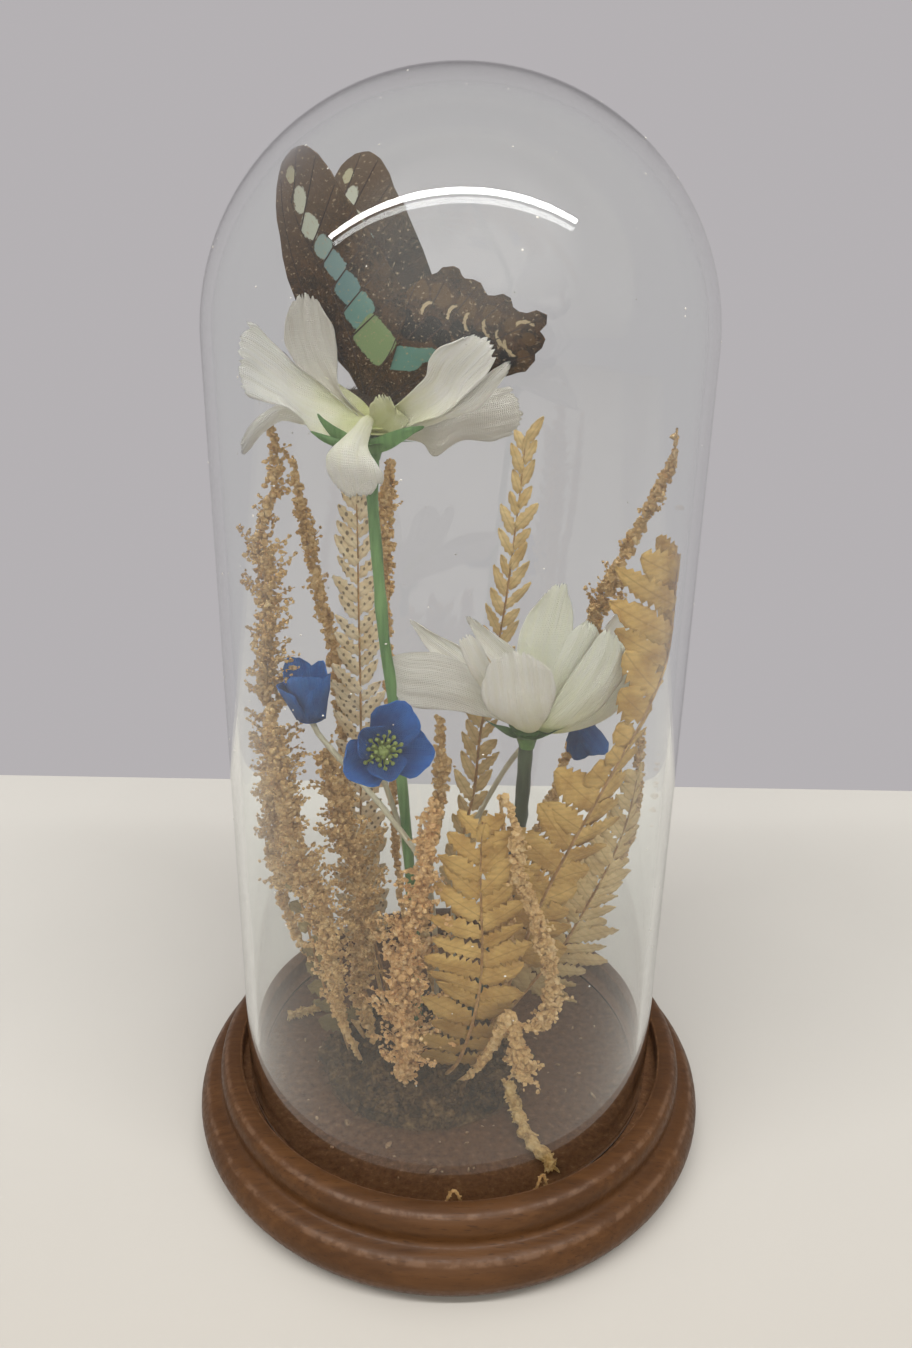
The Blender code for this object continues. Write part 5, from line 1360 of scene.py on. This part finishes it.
def seed_head(name, finish, points, count, size):
    """A stalk set with whorls of small husks, and with feathery side twigs where it is broad."""
    rng = random.Random(name)
    route = [(*rooted(*points[0][:2])[0], 0.3), *points[1:]]
    lengths = curve_through(route)[1]
    line = along(route, evenly(int(lengths[-1] / 0.5)))
    places = [held_inside(p.to_3d(), p[3] * 0.8) for p in line]
    stem = places[::4] + [places[-1]]
    bm, part = bmesh.new(), bmesh.new()
    stalk(part, stem, [max(0.24, 0.45 - 0.004 * k) for k in range(len(stem))], 6)
    clumps = [max(0.45, 1.0 + 0.9 * noise.noise(Vector((0.16 * k, len(name), 0)))) for k in range(len(line))]
    weights = [clump * max(0.0, p[3] - 0.4) ** 1.1 for clump, p in zip(clumps, line)]
    whole = sum(weights)
    k = 1
    while k < len(line) - 1:
        gap = rng.randrange(2, 5)
        due = sum(weights[k:k + gap]) / whole * count * rng.uniform(0.5, 1.5)
        radius = line[k][3] * clumps[k] ** 0.5
        ahead = (places[k + 1] - places[k - 1]).normalized()
        twigs = round(due / (7 + 1.6 * radius)) if radius > 1.4 else 0
        for _ in range(twigs):
            side = any_way(rng).cross(ahead).normalized()
            way = (side + ahead * rng.uniform(0.2, 1.3)).normalized()
            reach = radius * rng.uniform(0.7, 2.0)
            tip = held_inside(places[k] + way * reach, size + 0.2)
            stalk(part, [places[k], places[k].lerp(tip, 0.5) + ahead * 0.15, tip], [0.15, 0.12, 0.08], 3)
            number = max(3, round(reach / 0.5))
            for n in range(number):
                share_out = (n + 1) / number
                centre = places[k].lerp(tip, share_out) + any_way(rng) * 0.3
                seed(part, centre, size * (0.95 - 0.3 * share_out), rng)
                due -= 1
        for _ in range(max(0, round(due))):
            side = any_way(rng).cross(ahead).normalized()
            out = max(0.35, min(radius, 2.0) * rng.uniform(0.4, 1.0) - 0.2)
            seed(part, places[k] + side * out + ahead * rng.gauss(0, 0.5), size, rng)
        if len(part.faces) > 1200:
            pour(bm, part)
            part = bmesh.new()
        k += gap
    pour(bm, part)
    finished(name + "_seeds", bm, [finish], "dried_seed_heads", name, sharp=70.0)


def make_dried_plants():
    gold = dry_leaf("gold_fern", tint(182, 138, 70), tint(228, 188, 114))
    looks = {
        "fern_centre": gold,
        "fern_right_broad": gold,
        "fern_right_thin": dry_leaf("dark_gold_fern", tint(206, 170, 110), tint(240, 212, 156)),
        "leafy_frond": dry_leaf("pale_fern", tint(204, 168, 106), tint(236, 208, 154)),
        "fern_left_spotted": dry_leaf("spotted_fern", tint(226, 198, 152), tint(250, 230, 196), True),
        "dried_leaf_left": dry_leaf("olive_leaf", tint(142, 124, 76), tint(186, 164, 112)),
    }
    rib = dry_matter("frond_rib", tint(140, 104, 60), tint(172, 132, 84), tint(198, 160, 110), 0.8, 0.6)
    for name, shape in FRONDS.items():
        frond(name, looks[name], rib, **shape)
    brown = dry_matter("brown_seeds", tint(180, 140, 88), tint(220, 181, 125), tint(242, 213, 164), 1.1)
    pink = dry_matter("pinkish_seeds", tint(186, 138, 88), tint(226, 182, 126), tint(246, 214, 166), 1.1)
    dull = dry_matter("dull_seeds", tint(186, 143, 92), tint(220, 182, 126), tint(242, 212, 162), 1.1)
    others = {"seed_plume_centre": pink, "seed_tassel": dull, "seed_plume_left_low": dull}
    for name, (points, count, size) in SEED_HEADS.items():
        seed_head(name, others.get(name, brown), points, count, size)


# Twigs on the floor of the recess: route, radius, how many tufts of moss
TWIGS = {
    "twig_front": (
        [(11.4, -14.2, FLOOR + 4.0), (12.8, -16.6, FLOOR + 2.2), (14.6, -23.4, FLOOR + 1.5),
         (18.6, -30.6, FLOOR + 1.5)],
        1.1, 320),
    "twig_left": ([(-34.6, 7.4, FLOOR + 1.2), (-31.0, 9.4, FLOOR + 1.2), (-26.0, 11.6, FLOOR + 1.2)], 0.7, 110),
}
# Crumbs that show beside the moss; the others lie where they fall
LARGE_CRUMBS = [(-18.4, -20.5), (-9.6, -21.0), (-10.4, -25.4), (28.4, -12.6), (-2.2, -31.0), (-22.0, 8.0)]


def make_twig(name, finish, points, radius, tufts):
    """A crooked twig with tufts of moss on it."""
    rng = random.Random(name)
    bm = bmesh.new()
    line = []
    for k, place in enumerate(along(points, evenly(24))):
        line.append(place + Vector((0.3 * math.sin(1.9 * k), 0.3 * math.cos(1.3 * k), 0.2 * math.sin(k))))
    stalk(bm, line, [radius * (1 + 0.3 * math.sin(1.7 * k)) for k in range(24)], 8)
    for _ in range(tufts):
        place = rng.choice(line)
        way = Vector((rng.gauss(0, 1), rng.gauss(0, 1), rng.gauss(0, 0.6))).normalized()
        tip = place + way * rng.uniform(0.8, 1.6)
        tip.z = max(tip.z, FLOOR + 0.2)
        stalk(bm, [place, place.lerp(tip, 0.6) + Vector((0, 0, 0.15)), tip], [0.26, 0.3, 0.12], 4)
    finished(name + "_mossy", bm, [finish], "twig", name)


def make_strand(name, finish, turn, spread):
    """A dried stalk caught outside the foot of the glass, bowed up in the middle, with short twigs on it."""
    beside_glass = DOME_RADIUS + 0.6
    bow = []
    for k in range(9):
        angle = math.radians(turn + spread * (k - 4) / 4)
        lift = FLOOR + 0.8 + 4.6 * math.sin(math.pi * k / 8)
        bow.append(Vector((beside_glass * math.cos(angle), beside_glass * math.sin(angle), lift)))
    bm = bmesh.new()
    stalk(bm, along(bow, evenly(30)), [0.26 + 0.07 * math.sin(2.3 * k) for k in range(30)], 7)
    for k in range(1, 8):
        stalk(bm, [bow[k], bow[k] + Vector((0.5 * (-1) ** k, -0.25, 0.35))], [0.16, 0.1], 5)
    finished(name + "_straw", bm, [finish], "twig", name)


def make_crumbs(rng):
    """Crumbs on the floor of the recess and on the moss."""
    bm = bmesh.new()
    for k in range(CRUMBS):
        if k < len(LARGE_CRUMBS):
            (x, y), size = LARGE_CRUMBS[k], 0.7
        else:
            turn, out = rng.uniform(0, math.tau), rng.uniform(14.0, 36.4)
            x, y, size = out * math.cos(turn), out * math.sin(turn), rng.uniform(0.2, 0.45)
        spin = tumbled(rng)
        across, deep = (x - MOUND_CENTRE[0]) / MOUND_REACH[0], (y - MOUND_CENTRE[1]) / MOUND_REACH[1]
        ground = mound_height(x, y) if across**2 + deep**2 < 1.0 else FLOOR
        stretch = Matrix.Diagonal((1.3, rng.uniform(0.4, 0.9), rng.uniform(0.3, 0.7), 1.0))
        shape = Matrix.Translation((x, y, ground + size * 0.4)) @ spin @ stretch
        bmesh.ops.create_icosphere(bm, subdivisions=1, radius=size, matrix=shape)
    crumbs = dry_matter("crumbs", tint(120, 92, 64), tint(166, 134, 100), tint(208, 184, 152), 1.5)
    finished("floor_crumbs", bm, [crumbs], "dried_seed_heads", sharp=70.0)


def make_dust(rng):
    """Specks of dust on the outside of the glass."""
    bm = bmesh.new()
    for _ in range(DUST_SPECKS):
        turn, height = rng.uniform(0, math.tau), rng.uniform(30.0, 186.0)
        drop = max(0.0, (height - DOME_SPRING) / DOME_CROWN)
        out = math.sqrt(max(0.0, 1 - drop**2))
        way = Vector((math.cos(turn) * out, math.sin(turn) * out, drop * DOME_RADIUS / DOME_CROWN)).normalized()
        centre = Vector((math.cos(turn) * out * DOME_RADIUS, math.sin(turn) * out * DOME_RADIUS, height))
        flat = Matrix.Diagonal((1, rng.uniform(0.4, 1), 0.3, 1))
        shape = Matrix.Translation(centre + way * 0.03) @ upright_to(way) @ flat
        bmesh.ops.create_icosphere(bm, subdivisions=1, radius=rng.uniform(0.07, 0.24), matrix=shape)
    dust = dry_matter("pale_dust", tint(206, 202, 194), tint(226, 222, 214), tint(240, 238, 232), 1.5)
    finished("dust_on_glass", bm, [dust], "dried_seed_heads", sharp=70.0)


def make_loose_bits():
    twig = dry_matter("mossy_twig", tint(166, 130, 76), tint(210, 174, 114), tint(232, 204, 150), 1.2)
    straw = dry_matter("straw", tint(92, 68, 38), tint(132, 100, 60), tint(170, 138, 92), 0.8, 0.6)
    for name, (points, radius, tufts) in TWIGS.items():
        make_twig(name, twig, points, radius, tufts)
    make_strand("dried_strand_front", straw, -88.0, 2.4)
    make_strand("dried_strand_right", straw, -66.0, 1.8)
    rng = random.Random(21)
    make_crumbs(rng)
    make_dust(rng)


# ---------------------------------------------------------------- stage, lights and camera


# The table top in metres, and a grey-lilac wall with a brighter room above and behind the viewer
TABLE_SIZE = (4.0, 3.0, 0.03)
TABLE_EDGE = 0.1407
ROOM = (
    (0.0, tint(146, 143, 145)), (0.25, tint(150, 147, 147)), (0.68, tint(162, 160, 158)),
    (0.82, tint(236, 233, 227)), (0.92, tint(255, 253, 247)),
)
BRIGHTEST_WAY = (0.0, -0.72, 0.69)


def make_stage():
    """The pale table, which ends a little behind the base, and soft studio light."""
    table = new_finish("pale_table", 0.6)
    cloud = mottle(table, spot(table), 0.006, 3.0)
    colour = ramp(table, cloud, (0.3, tint(186, 183, 177)), (0.7, tint(192, 189, 183)))
    # Painted shade: the table is darker towards the front, nearest the viewer
    near = steps(table, axis_of(table, spot(table), "Y"), -160.0, 60.0, 1.0, 0.0)
    feed(table, "Base Color", blend(table, near, colour, tint(178, 172, 163)))
    bm = bmesh.new()
    bmesh.ops.create_cube(bm, size=1.0)
    bmesh.ops.scale(bm, vec=TABLE_SIZE, verts=bm.verts)
    bmesh.ops.translate(bm, vec=(0, TABLE_EDGE - TABLE_SIZE[1] / 2, -TABLE_SIZE[2] / 2), verts=bm.verts)
    edges = [edge for edge in bm.edges if all(v.co.z > -0.001 for v in edge.verts)]
    bmesh.ops.bevel(bm, geom=edges, offset=0.0008, segments=3, affect="EDGES", profile=0.5, material=-1)
    mesh = bpy.data.meshes.new("table_top")
    bm.to_mesh(mesh)
    bm.free()
    mesh.materials.append(table)
    top = bpy.data.objects.new("table_top", mesh)
    bpy.context.scene.collection.objects.link(top)

    world = bpy.data.worlds.new("studio")
    world.use_nodes = True
    aim = node(world, "TexCoord").outputs["Generated"]
    facing = node(world, "VectorMath", {0: aim, 1: BRIGHTEST_WAY}, operation="DOT_PRODUCT").outputs["Value"]
    background = world.node_tree.nodes["Background"].inputs
    world.node_tree.links.new(ramp(world, facing, *ROOM), background["Color"])
    background["Strength"].default_value = 1.6
    bpy.context.scene.world = world
    bpy.context.scene.view_settings.view_transform = "Standard"

    # One long lamp overhead; its reflection is the bright strip on the glass
    light = bpy.data.lights.new("ceiling_tube", "AREA")
    light.shape = "RECTANGLE"
    light.size, light.size_y = 2.8, 0.085
    light.energy = 30.0
    lamp = bpy.data.objects.new("ceiling_tube", light)
    lamp.location = (-0.22, -0.61, 1.5)
    lamp.rotation_euler = (0.0, 0.0, math.radians(2.0))
    bpy.context.scene.collection.objects.link(lamp)


VIEWPOINT = (-0.0004, -0.16846, 0.15808)
LOOKING_DOWN, ROLLED, TURNED = math.radians(20.97), math.radians(1.05), math.radians(0.09)
LENS, SENSOR_WIDTH = 26.95, 36.0


def make_camera():
    """The photograph's viewpoint: close, looking 21 degrees down, turned a degree about its own axis."""
    level = math.cos(LOOKING_DOWN)
    ahead = Vector((math.sin(TURNED) * level, math.cos(TURNED) * level, -math.sin(LOOKING_DOWN)))
    right = Vector((math.cos(TURNED), -math.sin(TURNED), 0.0))
    up = right.cross(ahead)
    across = right * math.cos(ROLLED) + up * math.sin(ROLLED)
    upward = up * math.cos(ROLLED) - right * math.sin(ROLLED)
    data = bpy.data.cameras.new("camera")
    data.lens = LENS
    data.sensor_width = SENSOR_WIDTH
    data.clip_start = 0.005
    camera = bpy.data.objects.new("camera", data)
    turn = Matrix((across, upward, -ahead)).transposed().to_4x4()
    camera.matrix_world = Matrix.Translation(VIEWPOINT) @ turn
    bpy.context.scene.collection.objects.link(camera)
    bpy.context.scene.camera = camera


def main():
    moss = dry_matter("dry_moss", tint(44, 30, 17), tint(82, 60, 35), tint(134, 106, 70), 1.0)
    white = silk("upper_silk", tint(218, 220, 160), tint(242, 240, 216), tint(250, 247, 242))
    white_lower = silk("lower_silk", tint(228, 228, 178), tint(240, 236, 212), tint(252, 248, 240))
    # Copies of the white silk painted in shade, and painted lighter as if light shone through from behind
    shaded = silk("shaded_silk", tint(206, 204, 170), tint(220, 215, 202), tint(222, 217, 209))
    lit = silk("lit_silk", tint(236, 241, 184), tint(252, 253, 226), tint(254, 254, 240))
    blue = silk("blue_silk", tint(26, 76, 140), tint(42, 112, 196), tint(58, 132, 214), 0.12)
    green = moulded_green("stem_green", tint(66, 110, 54), tint(114, 154, 92))
    dark_green = moulded_green("dark_stem_green", tint(52, 66, 50), tint(84, 100, 76))
    stamen = moulded_green("stamen_green", tint(118, 136, 62), tint(170, 184, 104))
    wire = moulded_green("pale_wire", tint(186, 178, 150), tint(214, 208, 184), 0.4)
    make_base()
    make_dome()
    make_moss(moss)
    make_silk_flowers(white, white_lower, shaded, lit, green, dark_green)
    make_blue_flowers(blue, stamen, wire)
    make_butterfly()
    make_dried_plants()
    make_loose_bits()
    make_stage()
    make_camera()


main()
